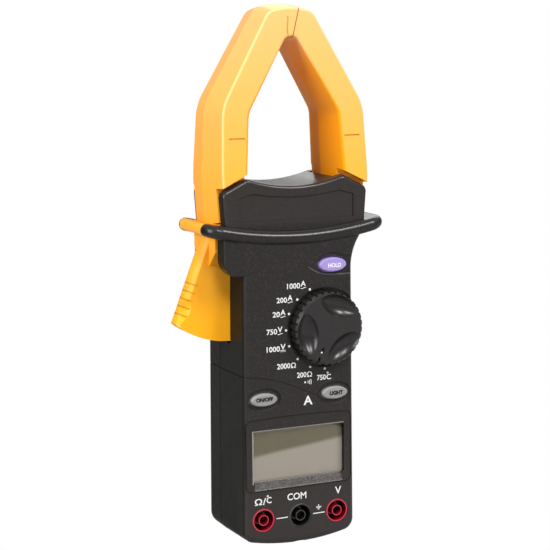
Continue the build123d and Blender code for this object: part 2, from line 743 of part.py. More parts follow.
def core_outline(side, play=0.0):
    """Front view of one magnetic core."""
    half = arch_outline(CORE_COVER - play) & side_zone(side)
    if side > 0:
        half -= foot_band() - foot_outline(play - CORE_COVER)
    return half - block_outline(-FAR, FAR, -FAR, core_foot() - play)


def core_foot():
    """Height of the cores' lower ends."""
    return GUARD_HEIGHT + HUB_RADIUS + FOOT_RISE


def block_outline(left, right, low, high):
    """Front view of a plain box."""
    return Pos((left + right) / 2, (low + high) / 2) * Rectangle(right - left, high - low)


def coil_band():
    """Heights between which the windings lie."""
    low = GUARD_HEIGHT + COIL_RISE
    return low, low + COIL_TALL


def core_room(side):
    """Hollow of a jaw for its core and winding."""
    near = MID_DEPTH - CORE_THICK / 2
    room = slab(core_outline(side, FIT / 2), near - FIT / 2, MID_DEPTH)
    low, high = coil_band()
    band = arch_outline(CORE_COVER - COIL_WALL - FIT) & side_zone(side)
    band &= block_outline(-FAR, FAR, low - FIT, high + FIT)
    return room + slab(band, near - COIL_WALL - FIT, MID_DEPTH)


def before_face(face, lean, bite=0.0):
    """Everything in front of an arm's face and a bite deeper; the face falls back up to the crown."""
    low, high = GUARD_HEIGHT, GUARD_HEIGHT + CROWN_RISE * 2
    slope = lean / (CROWN_RISE - COLLAR_PEAK_RISE)
    start = face + bite - slope * COLLAR_PEAK_RISE - BODY_DEPTH
    end = start + slope * (high - low)
    side_view = Polyline((-FAR, low), (start, low), (end, high), (-FAR, high), close=True)
    return extrude(Plane.YZ * make_face(side_view), FAR, both=True)


def jaw_arm(side, face, draft, lean):
    """Front half of one arm of the arch, drafted, thinned below its ledge and bored for the core."""
    near = face - lean
    angle = degrees(atan(draft / (MID_DEPTH - face)))
    arch = slab(arch_outline(), near, MID_DEPTH, taper=angle) - before_face(face, lean)
    arch = fillet(arch.faces().sort_by(Axis.Y)[0].edges(), JAW_EDGE)
    arm = arch & slab(side_zone(side), near, MID_DEPTH)
    arm -= slab(neck_zone(), near, NECK_FRONT)
    return arm - core_room(side)


def jaw_mark(side):
    """Tool for the short level groove on the face of an arm."""
    middle = side * (BEND_OUT + BEND_IN) / 2
    height = GUARD_HEIGHT + MARK_RISE
    mark = Pos(middle, height) * Rectangle(MARK_LENGTH, MARK_WIDTH)
    return slab(mark, 0, MID_DEPTH) & before_face(JAW_FRONT, JAW_LEAN, MARK_DEPTH)


def tip_mark():
    """Tool for the short upright groove beside the parting line."""
    low = GUARD_HEIGHT + APEX_RISE + WALL * 1.6
    mark = Pos(-MARK_WIDTH * 3, low + MARK_LENGTH / 2) * Rot(0, 0, -5) * Rectangle(MARK_WIDTH, MARK_LENGTH)
    return slab(mark, 0, MID_DEPTH) & before_face(JAW_FRONT, JAW_LEAN, MARK_DEPTH)


def fixed_half(face):
    """Front half of the fixed jaw with its foot."""
    arm = jaw_arm(1, *face)
    return arm - slab(foot_band() - foot_outline(), 0, MID_DEPTH)


def foot_band():
    """Front-view region of the right half in which the fixed jaw stands in its pocket."""
    return block_outline(0, FAR, 0, GUARD_HEIGHT + COLLAR_CORNER_RISE - COLLAR_EDGE)


def horn_outline():
    """Front view of the tongue that carries the rail's line across the moving jaw."""
    band = guard_outline(HORN_DRAFT) & block_outline(-GUARD_HALF, -LEG_IN - WALL, 0, FAR)
    return fillet(band.vertices().sort_by(Axis.X)[:2], GUARD_THICK / 2 - HORN_DRAFT * 2)


def trigger_half():
    """Front half of the trigger: crowned grip with ribs and a thumb scoop, hollow towards the body."""
    outline = trigger_outline()
    solid = slab(outline, TRIGGER_FRONT, MID_DEPTH)
    hollow = offset(outline, -TRIGGER_WALL, kind=Kind.INTERSECTION)
    hollow &= block_outline(-FAR, FAR, -FAR, PIVOT_Z - HUB_RADIUS * 2)
    open_side = Pos(TRIGGER_WALL * 2, 0) * hollow
    hollow += open_side & block_outline(-TRIGGER_HEEL - TRIGGER_WALL, FAR, -FAR, FAR)
    solid -= slab(hollow, TRIGGER_FRONT + TRIGGER_WALL, MID_DEPTH)
    return (solid & grip_crown()) - grip_grooves() - thumb_scoop()


def thumb_scoop():
    """Ball-shaped tool for the hollow in the front edge of the grip."""
    away = (THUMB_RADIUS - THUMB_DEPTH) * cos(radians(45))
    place = Pos(away - TRIGGER_CROWN, -TRIGGER_THICK / 2 - away, THUMB_DROP)
    return grip_plane() * place * Sphere(THUMB_RADIUS)


def grip_plane():
    """Plane across the slanting grip: X points outwards from the grip and Z down along it."""
    top = Vector(-TRIGGER_TOP_OUT, -MID_DEPTH, PIVOT_Z - TRIGGER_TOP_DROP)
    tip = Vector(-TRIGGER_TIP_OUT, -MID_DEPTH, PIVOT_Z - TRIGGER_TIP_DROP)
    along = (tip - top).normalized()
    return Plane(origin=top, x_dir=(along.Z, 0, -along.X), z_dir=along)


def grip_crown():
    """Long prism whose outer side is the grip's crowned section."""
    half = TRIGGER_THICK / 2
    section = make_face([
        ThreePointArc((-TRIGGER_CROWN, -half), (0, 0), (-TRIGGER_CROWN, half)),
        Polyline((-TRIGGER_CROWN, half), (-FAR, half), (-FAR, -half), (-TRIGGER_CROWN, -half)),
    ])
    return extrude(grip_plane() * section, FAR, both=True)


def grip_grooves():
    """Tool for the row of short grooves across the grip."""
    tool = Part()
    section = Rectangle(GRIP_GROOVE * 2, GRIP_LENGTH)
    length = hypot(TRIGGER_TIP_OUT - TRIGGER_TOP_OUT, TRIGGER_TIP_DROP - TRIGGER_TOP_DROP)
    for index in range(GRIP_RIBS):
        drop = length - TRIGGER_WALL * 3 - index * GRIP_PITCH
        tool += grip_plane() * Pos(0, 0, drop) * extrude(section, GRIP_GROOVE * 2)
    return tool


def neck_ramp():
    """Neck between arm and trigger, which thins towards the trigger."""
    top, high, low = PIVOT_Z + FOOT_RISE + 1, PIVOT_Z - RAMP_HIGH, PIVOT_Z - RAMP_LOW
    side_view = Polyline(
        (NECK_FRONT - BODY_DEPTH, top),
        (NECK_FRONT - BODY_DEPTH, high),
        (TRIGGER_FRONT - BODY_DEPTH, low),
        (-MID_DEPTH, low),
        (-MID_DEPTH, top),
        close=True,
    )
    return extrude(Plane.YZ.offset(-LEG_FOOT_OUT) * make_face(side_view), LEG_FOOT_OUT - LEG_IN)


def lever_half(face):
    """Front half of the moving jaw: arm, hub, horn and trigger in one."""
    hub = disc(PIVOT_X, PIVOT_Z, HUB_RADIUS, NECK_FRONT, MID_DEPTH)
    horn = slab(horn_outline(), NECK_FRONT, MID_DEPTH)
    solid = jaw_arm(-1, *face) + neck_ramp() + hub + horn + trigger_half()
    return solid - disc(PIVOT_X, PIVOT_Z, PIN_RADIUS + PIN_CLEARANCE, 0, BODY_DEPTH) - spring_room()


def spring_pitch():
    """Rise of the spring's helix in one turn."""
    return SPRING_WIRE + FIT


def spring_room():
    """Ring-shaped pocket in the hub for the spring, with room for its two legs."""
    near = MID_DEPTH - spring_pitch() * SPRING_TURNS / 2 - SPRING_WIRE
    outer, inner = SPRING_COIL + SPRING_WIRE, SPRING_COIL - SPRING_WIRE
    roof = PIVOT_Z - SPRING_COIL + SPRING_WIRE / 2 + FIT / 6
    room = tube(PIVOT_X, PIVOT_Z, outer, inner, near, MID_DEPTH)
    room += block(PIVOT_X, PIVOT_X + SPRING_REACH, roof - HUB_RADIUS, roof, near, MID_DEPTH)
    return room + block(PIVOT_X - SPRING_REACH, PIVOT_X, roof - SPRING_WIRE - FIT, roof, near, MID_DEPTH)


def spring_leg(rise, direction):
    """One straight leg of the spring, at a rise along its axis."""
    start = Plane(origin=(SPRING_COIL, 0, rise), z_dir=(0, direction, 0))
    return extrude(start * Rectangle(SPRING_WIRE * 0.8, SPRING_WIRE * 0.8), SPRING_REACH - FIT)


def jaw_spring():
    """Torsion spring round the pivot; one leg lifts the lever and the other bears on the case's post."""
    height = spring_pitch() * SPRING_TURNS
    path = Helix(spring_pitch(), height, SPRING_COIL)
    section = Plane(origin=path @ 0, z_dir=path % 0) * Rectangle(SPRING_WIRE * 0.8, SPRING_WIRE * 0.8)
    winding = sweep(section, path=path, is_frenet=True)
    place = Plane(origin=(PIVOT_X, -MID_DEPTH - height / 2, PIVOT_Z), x_dir=(0, 0, -1), z_dir=(0, 1, 0))
    return place * (winding + spring_leg(0, -1) + spring_leg(height, 1))


def spring_post():
    """Peg behind the collar's front plate that holds down the spring's right leg."""
    radius = WALL * 0.6
    x = PIVOT_X + SPRING_REACH - radius
    z = PIVOT_Z - SPRING_COIL + SPRING_WIRE / 2 + FIT / 6 + radius
    return disc(x, z, radius, PLATE_BACK - WALL - FIT, MID_DEPTH)


def core(side):
    """Laminated magnetic core of one jaw."""
    near = MID_DEPTH - CORE_THICK / 2
    return slab(core_outline(side), near, BODY_DEPTH - near)


def coil(side):
    """Winding round the straight leg of a core."""
    near = MID_DEPTH - CORE_THICK / 2
    low, high = coil_band()
    band = block_outline(-FAR, FAR, low, high)
    outer = arch_outline(CORE_COVER - COIL_WALL) & side_zone(side) & band
    inner = arch_outline(CORE_COVER - FIT / 3) & side_zone(side) & band
    winding = slab(outer, near - COIL_WALL, BODY_DEPTH - near + COIL_WALL)
    return winding - slab(inner, near - FIT / 3, BODY_DEPTH - near + FIT / 3)


# ---------------------------------------------------------------- selector
def knob_plane(depth):
    """Plane across the knob at a depth, centred on its axis."""
    return upright(depth) * Pos(KNOB_X, KNOB_HEIGHT)


def on_knob(angle, reach):
    """Place in the knob's plane at an angle and a distance from its axis."""
    return Pos(reach * cos(radians(angle)), reach * sin(radians(angle)))


def scoop(angle):
    """Tool for one finger scoop: a pointed oval laid across the knob's face."""
    half = SCOOP_LENGTH / 2
    profile = make_face([
        ThreePointArc((-half, 0), (0, SCOOP_RADIUS), (half, 0)),
        Line((half, 0), (-half, 0)),
    ])
    oval_body = revolve(profile, Axis.X)
    place = on_knob(angle, SCOOP_REACH) * Rot(0, 0, angle + 90)
    return knob_plane(-KNOB_PROUD - SCOOP_LIFT) * place * oval_body


def radial_slot(inner, outer, width):
    """Round-ended slot along the pointer's line between two distances from the knob's axis."""
    middle = (inner + outer) / 2
    return on_knob(POINTER_ANGLE, middle) * Rot(0, 0, POINTER_ANGLE) * SlotOverall(outer - inner, width)


def selector_knob():
    """Round knob with a notched side, bevelled face, three scoops, a pointer pocket and its shaft."""
    under = WELL_DEPTH - FIT
    height = under + KNOB_PROUD
    solid = extrude(knob_plane(under) * Circle(KNOB_RADIUS), height)
    solid = chamfer(solid.edges().sort_by(Axis.Y)[0], KNOB_BEVEL)
    notch = Pos(KNOB_RADIUS, 0) * Rectangle(KNOB_NOTCH_DEPTH * 2, KNOB_NOTCH_WIDTH)
    notches = Sketch() + [Rot(0, 0, index * 360 / KNOB_NOTCHES) * notch for index in range(KNOB_NOTCHES)]
    solid -= extrude(knob_plane(under) * notches, height)
    for turn in (-60, 60, 180):
        solid -= scoop(POINTER_ANGLE + turn)
    pocket = radial_slot(POCKET_IN, POCKET_OUT, POCKET_WIDTH)
    solid -= extrude(knob_plane(POCKET_DEPTH - KNOB_PROUD) * pocket, height)
    slot = radial_slot(RIM_SLOT_IN, RIM_SLOT_OUT, POCKET_WIDTH)
    solid -= extrude(knob_plane(RIM_SLOT_DEPTH - KNOB_PROUD) * slot, height)
    solid -= pointer_dot()
    return solid + extrude(knob_plane(rotor_near()) * Circle(KNOB_SHAFT), rotor_near() - under)


def pointer_dot():
    """Peg in the outer end of the knob's pointer pocket."""
    dot = on_knob(POINTER_ANGLE, DOT_REACH) * RegularPolygon(DOT_RADIUS, POST_SIDES)
    return extrude(knob_plane(POCKET_DEPTH * 2 - KNOB_PROUD) * dot, POCKET_DEPTH * 1.8)


def rotor_near():
    """Depth of the rotor's front, just behind the floor of the well."""
    return WELL_DEPTH + WALL * 0.8 + FIT


def switch_rotor():
    """Disc behind the panel that carries the wipers and the detent balls."""
    near = rotor_near()
    solid = extrude(knob_plane(near + ROTOR_THICK) * Circle(ROTOR_RADIUS), ROTOR_THICK)
    for turn in (0, 180):
        place = on_knob(POINTER_ANGLE + turn, ROTOR_RADIUS - WALL) * Rot(0, 0, POINTER_ANGLE + turn)
        pocket = extrude(Rectangle(WALL * 2, WALL * 0.8), WALL * 0.4, both=True)
        solid -= knob_plane(near + ROTOR_THICK / 2) * place * pocket
    return solid


def detent_balls():
    """Two steel balls in the rotor's rim."""
    balls = []
    for turn in (0, 180):
        place = on_knob(POINTER_ANGLE + turn, ROTOR_RADIUS - WALL * 0.4)
        balls.append(knob_plane(rotor_near() + ROTOR_THICK / 2) * place * Sphere(WALL * 0.38))
    return balls


def rotor_wipers():
    """Two bent brass wipers between the rotor and the board."""
    near = rotor_near() + ROTOR_THICK
    wipers = []
    for reach in (WALL * 2, WALL * 4):
        arc = on_knob(POINTER_ANGLE + 180, reach) * Rot(0, 0, POINTER_ANGLE) * Rectangle(WALL / 2, WALL * 3)
        pad = on_knob(POINTER_ANGLE + 180, reach) * Rectangle(WALL / 2, WALL / 2)
        strip = extrude(knob_plane(near + WALL / 5) * arc, WALL / 5)
        wipers.append(strip + extrude(knob_plane(BOARD_DEPTH - FIT / 6) * pad, BOARD_DEPTH - FIT / 6 - near))
    return wipers


# ---------------------------------------------------------------- buttons, sockets and display
def button(x, z, width, tall):
    """Domed oval key with a flange behind the panel and a stem to its switch."""
    key = slab(oval(x, z, width, tall), -BUTTON_PROUD, WALL + FIT + BUTTON_TRAVEL)
    key = chamfer(key.edges().sort_by(Axis.Y)[0], BUTTON_PROUD * 0.6)
    rim = oval(x, z, width, tall, BUTTON_CLEARANCE + WALL / 4) & body_outline(WALL + FRONT_LEAN + FIT)
    flange = slab(rim, WALL + FIT / 3, WALL + FIT / 3 + BUTTON_TRAVEL)
    stem = disc(x, z, switch_bore() - FIT, WALL + FIT, switch_near() + BUTTON_TRAVEL)
    return key + flange + stem


def switch_bore():
    """Radius of the hole in a switch that its button's stem enters."""
    return WALL * 0.9


def switch_near():
    """Depth of the front of the switches on the board."""
    return BOARD_DEPTH - WALL * 1.75


def key_switch(x, z):
    """Square switch on the board with a blind hole for the stem."""
    half = WALL * 1.5
    near = switch_near()
    case = block(x - half, x + half, z - half, z + half, near, BOARD_DEPTH)
    return case - disc(x, z, switch_bore(), near, BOARD_DEPTH - FIT)


def input_sleeve(x):
    """Insulating socket sleeve: outer ring, ring-shaped recess and the post round the contact."""
    solid = disc(x, 0, SOCKET_RADIUS, 0, SOCKET_LENGTH)
    solid = chamfer(solid.edges().sort_by(Axis.Y)[0], SOCKET_LIP / 3)
    step = CONTACT_SET_BACK - FIT
    solid -= tube(x, 0, SOCKET_RADIUS - SOCKET_LIP, SOCKET_POST, -1, step)
    solid -= tube(x, 0, SOCKET_RADIUS - SOCKET_LIP, SOCKET_SLEEVE, step, SOCKET_LENGTH - WALL)
    solid -= disc(x, 0, CONTACT_BORE + FIT / 6, -1, SOCKET_LENGTH)
    return solid - disc(x, 0, CONTACT_BORE + CONTACT_WALL, CONTACT_SET_BACK, SOCKET_LENGTH)


def input_contact(x):
    """Brass tube for a 4 mm plug with a bent tab to the board."""
    far = CONTACT_SET_BACK + CONTACT_LENGTH
    radius = CONTACT_BORE + CONTACT_WALL
    solid = disc(x, 0, radius, CONTACT_SET_BACK, far)
    board_back = BOARD_DEPTH + BOARD_THICK
    low, high = CONTACT_BORE, BOARD_LOW + WALL
    tab_near = SOCKET_LENGTH + FIT
    solid += block(x - WALL / 2, x + WALL / 2, low, high, tab_near, tab_near + CONTACT_WALL)
    solid += block(x - WALL / 2, x + WALL / 2, high - CONTACT_WALL, high, board_back, tab_near + CONTACT_WALL)
    return solid - disc(x, 0, CONTACT_BORE, CONTACT_SET_BACK, far - CONTACT_WALL)


def lcd_plate(margin, near, far, corner=LCD_CORNER):
    """Flat piece of the display, larger than the window by a margin."""
    x, z = lcd_centre()
    plate = RectangleRounded(LCD_WIDTH + 2 * margin, LCD_TALL + 2 * margin, corner)
    return slab(Pos(x, z) * plate, near, far)


def glass_near():
    """Depth of the front of the display glass."""
    return WALL + WINDOW_THICK + STACK_GAP


def glass_far():
    """Depth of the back of the display glass."""
    return glass_near() + GLASS_THICK


def lcd_backlight():
    """White light guide behind the display with four feet on the board."""
    x, z = lcd_centre()
    near = glass_far() + STACK_GAP
    far = near + LIGHT_THICK
    solid = lcd_plate(WALL / 2, near, far)
    half = WALL / 2
    for side in (-1, 1):
        for end in (-1, 1):
            foot_x, foot_z = x + side * LCD_WIDTH / 2.1, z + end * LCD_TALL / 2.3
            solid += block(foot_x - half, foot_x + half, foot_z - half, foot_z + half, far, BOARD_DEPTH)
    return solid


def zebra_strip():
    """Rubber contact strip between the display's lower edge and the board."""
    x, _ = lcd_centre()
    half = LCD_WIDTH / 2 - WALL
    low = LCD_LOW - WALL - FIT * 2
    return block(x - half, x + half, low - WALL * 0.6, low, glass_far() - FIT, BOARD_DEPTH)


# ---------------------------------------------------------------- inside
def circuit_board():
    """Main board with a tab up to the hold button's switch."""
    outline = make_face(Polyline(
        (-BOARD_HALF, BOARD_LOW),
        (BOARD_HALF, BOARD_LOW),
        (BOARD_HALF, BOARD_TAB_HIGH),
        (BOARD_TAB_LEFT, BOARD_TAB_HIGH),
        (BOARD_TAB_LEFT, BOARD_HIGH),
        (-BOARD_HALF, BOARD_HIGH),
        close=True,
    ))
    solid = slab(outline, BOARD_DEPTH, BOARD_DEPTH + BOARD_THICK)
    for x, z in board_screw_spots():
        solid -= peg(x, z, SCREW_RADIUS, 0, BODY_DEPTH)
    return solid


def board_screw_spots():
    """Centres of the screws that hold the board to the front shell, as (x, z)."""
    side = BOARD_HALF - BOSS_RADIUS
    low = BUTTON_HEIGHT - BUTTON_TALL / 2 - WALL - BOSS_RADIUS
    high = BOARD_HIGH - BOSS_RADIUS
    return (-side, low), (side, low), (-side, high), (side, high)


def board_bosses():
    """Posts on the front shell that carry the board."""
    posts = []
    for x, z in board_screw_spots():
        post = peg(x, z, BOSS_RADIUS - WALL / 2, WALL - FIT, BOARD_DEPTH)
        posts.append(post - peg(x, z, shank_radius(), WALL, BOARD_DEPTH))
    return posts


def shank_radius():
    """Radius of the screws' shanks."""
    return SCREW_RADIUS * 0.7


def screw(x, z, tip, head_near, head_tall=HEAD_TALL):
    """Screw driven from the back, from its tip to the back of its head."""
    return peg(x, z, shank_radius(), tip, head_near) + peg(x, z, SCREW_HEAD, head_near, head_near + head_tall)


def board_chip():
    """Black measuring chip on the back of the board, above the battery box."""
    back = BOARD_DEPTH + BOARD_THICK
    low = battery_top() + WALL / 2 + FIT
    return block(-CHIP_SIZE / 2, CHIP_SIZE / 2, low, low + CHIP_SIZE, back, back + CHIP_THICK)


def buzzer():
    """Round continuity buzzer on the back of the board, with its sound hole."""
    back = BOARD_DEPTH + BOARD_THICK
    x, z = BOARD_HALF - BUZZER_RADIUS * 1.5, BOARD_HIGH - BUZZER_RADIUS * 6
    solid = disc(x, z, BUZZER_RADIUS, back, back + BUZZER_TALL)
    return solid - peg(x, z, WALL / 2, back + BUZZER_TALL - WALL, FAR)


def battery():
    """Block battery: its case with rounded upright edges."""
    half = BATTERY_WIDTH / 2
    near = battery_near()
    solid = block(-half, half, BATTERY_LOW, BATTERY_LOW + BATTERY_TALL, near, near + BATTERY_THICK)
    return fillet(solid.edges().filter_by(Axis.Z), WALL)


def battery_terminals():
    """Round stud and six-sided cup on the battery's upper end."""
    left, right = terminal_spots()
    middle = battery_near() + BATTERY_THICK / 2 - BODY_DEPTH
    plane = Plane.XY.offset(BATTERY_LOW + BATTERY_TALL)
    stud = extrude(plane * Pos(left, middle) * Circle(TERMINAL_TALL * 1.2), TERMINAL_TALL)
    cup = extrude(plane * Pos(right, middle) * RegularPolygon(TERMINAL_TALL * 1.7, 6), TERMINAL_TALL)
    return [stud, cup]


def battery_contacts():
    """Two strips that press on the terminals and run forwards to the back of the board."""
    low = BATTERY_LOW + BATTERY_TALL + TERMINAL_TALL
    near = BOARD_DEPTH + BOARD_THICK
    far = battery_near() + BATTERY_THICK * 0.7
    half = STRIP_WIDTH / 2
    return [block(x - half, x + half, low, low + CONTACT_STRIP, near, far) for x in terminal_spots()]


def battery_cover():
    """Flat cover over the battery with finger ribs and a hole for its screw."""
    far = BODY_DEPTH - FIT / 6
    solid = slab(cover_outline(), far - COVER_THICK, far)
    x, z = cover_screw_spot()
    for index in range(GRIP_RIBS):
        height = COVER_LOW + COVER_TALL / 2 + (index - GRIP_RIBS / 2 + 0.5) * GRIP_PITCH
        half = COVER_WIDTH / 4
        solid -= block(-half, half, height - GROOVE, height + GROOVE, far - GRIP_GROOVE, FAR)
    solid -= peg(x, z, SCREW_RADIUS, 0, FAR)
    return solid - disc(x, z, SCREW_HEAD + FIT, far - COVER_THICK / 2, FAR)


def pivot_pin():
    """Steel pin that the moving jaw turns on."""
    end = PLATE_BACK - WALL * 2 + FIT
    return disc(PIVOT_X, PIVOT_Z, PIN_RADIUS, end, BODY_DEPTH - end)


PIECES = {}


def keep(name, shape):
    """Remember a piece under its name."""
    PIECES[name] = shape


def build():
    """Make every piece of the meter."""
    front = front_shell()
    for post in board_bosses():
        front += post
    keep("front_shell", front)
    keep("rear_shell", rear_shell())
    keep("fixed_jaw_front", fixed_half(FRONT_FACE) - jaw_mark(1))
    keep("fixed_jaw_rear", facing_back(fixed_half(BACK_FACE)))
    keep("fixed_core", core(1))
    keep("fixed_coil", coil(1))
    keep("moving_jaw_front", lever_half(FRONT_FACE) - jaw_mark(-1) - tip_mark())
    keep("moving_jaw_rear", facing_back(lever_half(BACK_FACE)))
    keep("moving_core", core(-1))
    keep("moving_coil", coil(-1))
    keep("pivot_pin", pivot_pin())
    keep("jaw_spring", jaw_spring())
    keep("selector_knob", selector_knob())
    keep("pointer_dot", pointer_dot())
    keep("switch_rotor", switch_rotor())
    keep("detent_balls", Compound(children=detent_balls()))
    keep("rotor_wipers", Compound(children=rotor_wipers()))
    for name, x, z, width, tall in buttons():
        keep(f"{name}_button", button(x, z, width, tall))
        keep(f"{name}_switch", key_switch(x, z))
    for name, x in sockets():
        keep(f"{name}_sleeve", input_sleeve(x))
        keep(f"{name}_contact", input_contact(x))
    keep("lcd_window", lcd_plate(WALL / 2, WALL, WALL + WINDOW_THICK))
    keep("lcd_glass", lcd_plate(WALL / 2, glass_near(), glass_far()))
    keep("lcd_backlight", lcd_backlight())
    keep("zebra_strip", zebra_strip())
    keep("circuit_board", circuit_board())
    back = BOARD_DEPTH + BOARD_THICK
    board_screws = [screw(x, z, WALL * 2, back) for x, z in board_screw_spots()]
    keep("board_screws", Compound(children=board_screws))
    keep("board_chip", board_chip())
    keep("buzzer", buzzer())
    keep("battery", battery())
    keep("battery_terminals", Compound(children=battery_terminals()))
    keep("battery_contacts", Compound(children=battery_contacts()))
    keep("battery_cover", battery_cover())
    x, z = cover_screw_spot()
    head = BODY_DEPTH - FIT / 6 - COVER_THICK / 2
    keep("cover_screw", screw(x, z, near_cover() + WALL / 2, head, WALL * 0.4))
    case_screws = []
    for x, z in screw_spots():
        head = (BODY_DEPTH if z < GUARD_HEIGHT else BODY_DEPTH - COLLAR_FRONT) - WALL * 2
        case_screws.append(screw(x, z, SEAM_DEPTH - WALL * 3, head))
    keep("case_screws", Compound(children=case_screws))


def main():
    """Write each piece to its own file."""
    os.makedirs("parts", exist_ok=True)
    build()
    for name, shape in PIECES.items():
        export_step(shape, f"parts/{name}.step")


if __name__ == "__main__":
    main()
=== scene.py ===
"""Finishes, printing, light and camera for a hand-held clamp meter.

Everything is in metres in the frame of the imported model: X to the right of the panel, Y backwards out of
the flat back, Z from the input sockets up to the jaws. The front panel lies at y = PANEL_Y.
"""
import json
import logging
from dataclasses import dataclass
from enum import Enum
from math import cos, pi, radians, sin
from typing import Iterable, Optional, Sequence, Union

import bpy
import numpy as np
from mathutils import Matrix, Vector


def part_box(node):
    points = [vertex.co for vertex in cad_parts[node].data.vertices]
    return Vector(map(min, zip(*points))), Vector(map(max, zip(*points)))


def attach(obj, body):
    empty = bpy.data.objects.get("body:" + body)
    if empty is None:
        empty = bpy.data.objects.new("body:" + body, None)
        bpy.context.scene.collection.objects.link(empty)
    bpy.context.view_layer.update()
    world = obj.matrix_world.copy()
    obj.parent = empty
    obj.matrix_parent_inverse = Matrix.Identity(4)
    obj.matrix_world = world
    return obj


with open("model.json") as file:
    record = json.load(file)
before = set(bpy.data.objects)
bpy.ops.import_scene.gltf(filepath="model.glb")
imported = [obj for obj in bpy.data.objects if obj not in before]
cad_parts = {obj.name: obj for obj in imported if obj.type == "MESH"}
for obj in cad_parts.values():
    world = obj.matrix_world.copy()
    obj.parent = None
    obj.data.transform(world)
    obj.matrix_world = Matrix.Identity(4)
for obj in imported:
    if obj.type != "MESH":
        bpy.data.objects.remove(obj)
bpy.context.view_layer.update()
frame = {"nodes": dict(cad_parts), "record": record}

LOG = logging.getLogger("clamp_meter")
MM = 0.001
PANEL_Y = -0.041
INK_THICK = 0.00004

WAVE_SPAN = 20.0

Colour = tuple[float, float, float]
Point = tuple[float, float, float]
Plate = tuple[np.ndarray, list[list[int]]]
Owner = Union[bpy.types.Material, bpy.types.World]
Value = Union[float, Sequence[float], "Sig"]


# ------------------------------------------------------------------ shader arithmetic
class Sig:
    """An output socket that takes part in arithmetic; each operator adds one Math node."""

    def __init__(self, graph: "Graph", socket: bpy.types.NodeSocket) -> None:
        """Wrap a socket of a graph."""
        self.graph = graph
        self.socket = socket

    def _math(self, operation: str, first: Value, second: Value) -> "Sig":
        """Add a Math node.

        Args:
            operation: the node's operation.
            first: its first input.
            second: its second input.

        Returns:
            The node's output.
        """
        return self.graph.node("ShaderNodeMath", {"operation": operation}, {0: first, 1: second})

    def __add__(self, other: Value) -> "Sig":
        """Sum."""
        return self._math("ADD", self, other)

    def __mul__(self, other: Value) -> "Sig":
        """Product."""
        return self._math("MULTIPLY", self, other)

    def __sub__(self, other: Value) -> "Sig":
        """Difference."""
        return self._math("SUBTRACT", self, other)

    def __rsub__(self, other: Value) -> "Sig":
        """Difference with the value first."""
        return self._math("SUBTRACT", other, self)

    def ramp(self, low: float, high: float) -> "Sig":
        """Smooth step from 0 at low to 1 at high."""
        inputs = {"Value": self, "From Min": low, "From Max": high}
        return self.graph.node("ShaderNodeMapRange", {"interpolation_type": "SMOOTHSTEP"}, inputs)

    def within(self, low: float, high: float, soft: float) -> "Sig":
        """1 between two values and 0 outside them, with ends of a given softness."""
        return self.ramp(low - soft, low + soft) * (1 - self.ramp(high - soft, high + soft))

    def larger(self, other: "Sig") -> "Sig":
        """The larger of two values."""
        return self._math("MAXIMUM", self, other)

    def zigzag(self, pitch: float) -> "Sig":
        """Distance to the nearest multiple of a pitch."""
        return self._math("PINGPONG", self, pitch / 2)

    def axes(self) -> tuple["Sig", "Sig", "Sig"]:
        """The three parts of a vector."""
        split = self.graph.node("ShaderNodeSeparateXYZ", None, {0: self})
        return tuple(split.beside(axis) for axis in "XYZ")

    def beside(self, out: str) -> "Sig":
        """Another output of the same node."""
        return Sig(self.graph, self.socket.node.outputs[out])


@dataclass(frozen=True)
class Span:
    """Stretch of one coordinate in metres, with ends of a given softness."""

    low: float
    high: float
    soft: float

    def mask(self, value: Sig) -> Sig:
        """1 inside the stretch and 0 outside it."""
        return value.within(self.low, self.high, self.soft)


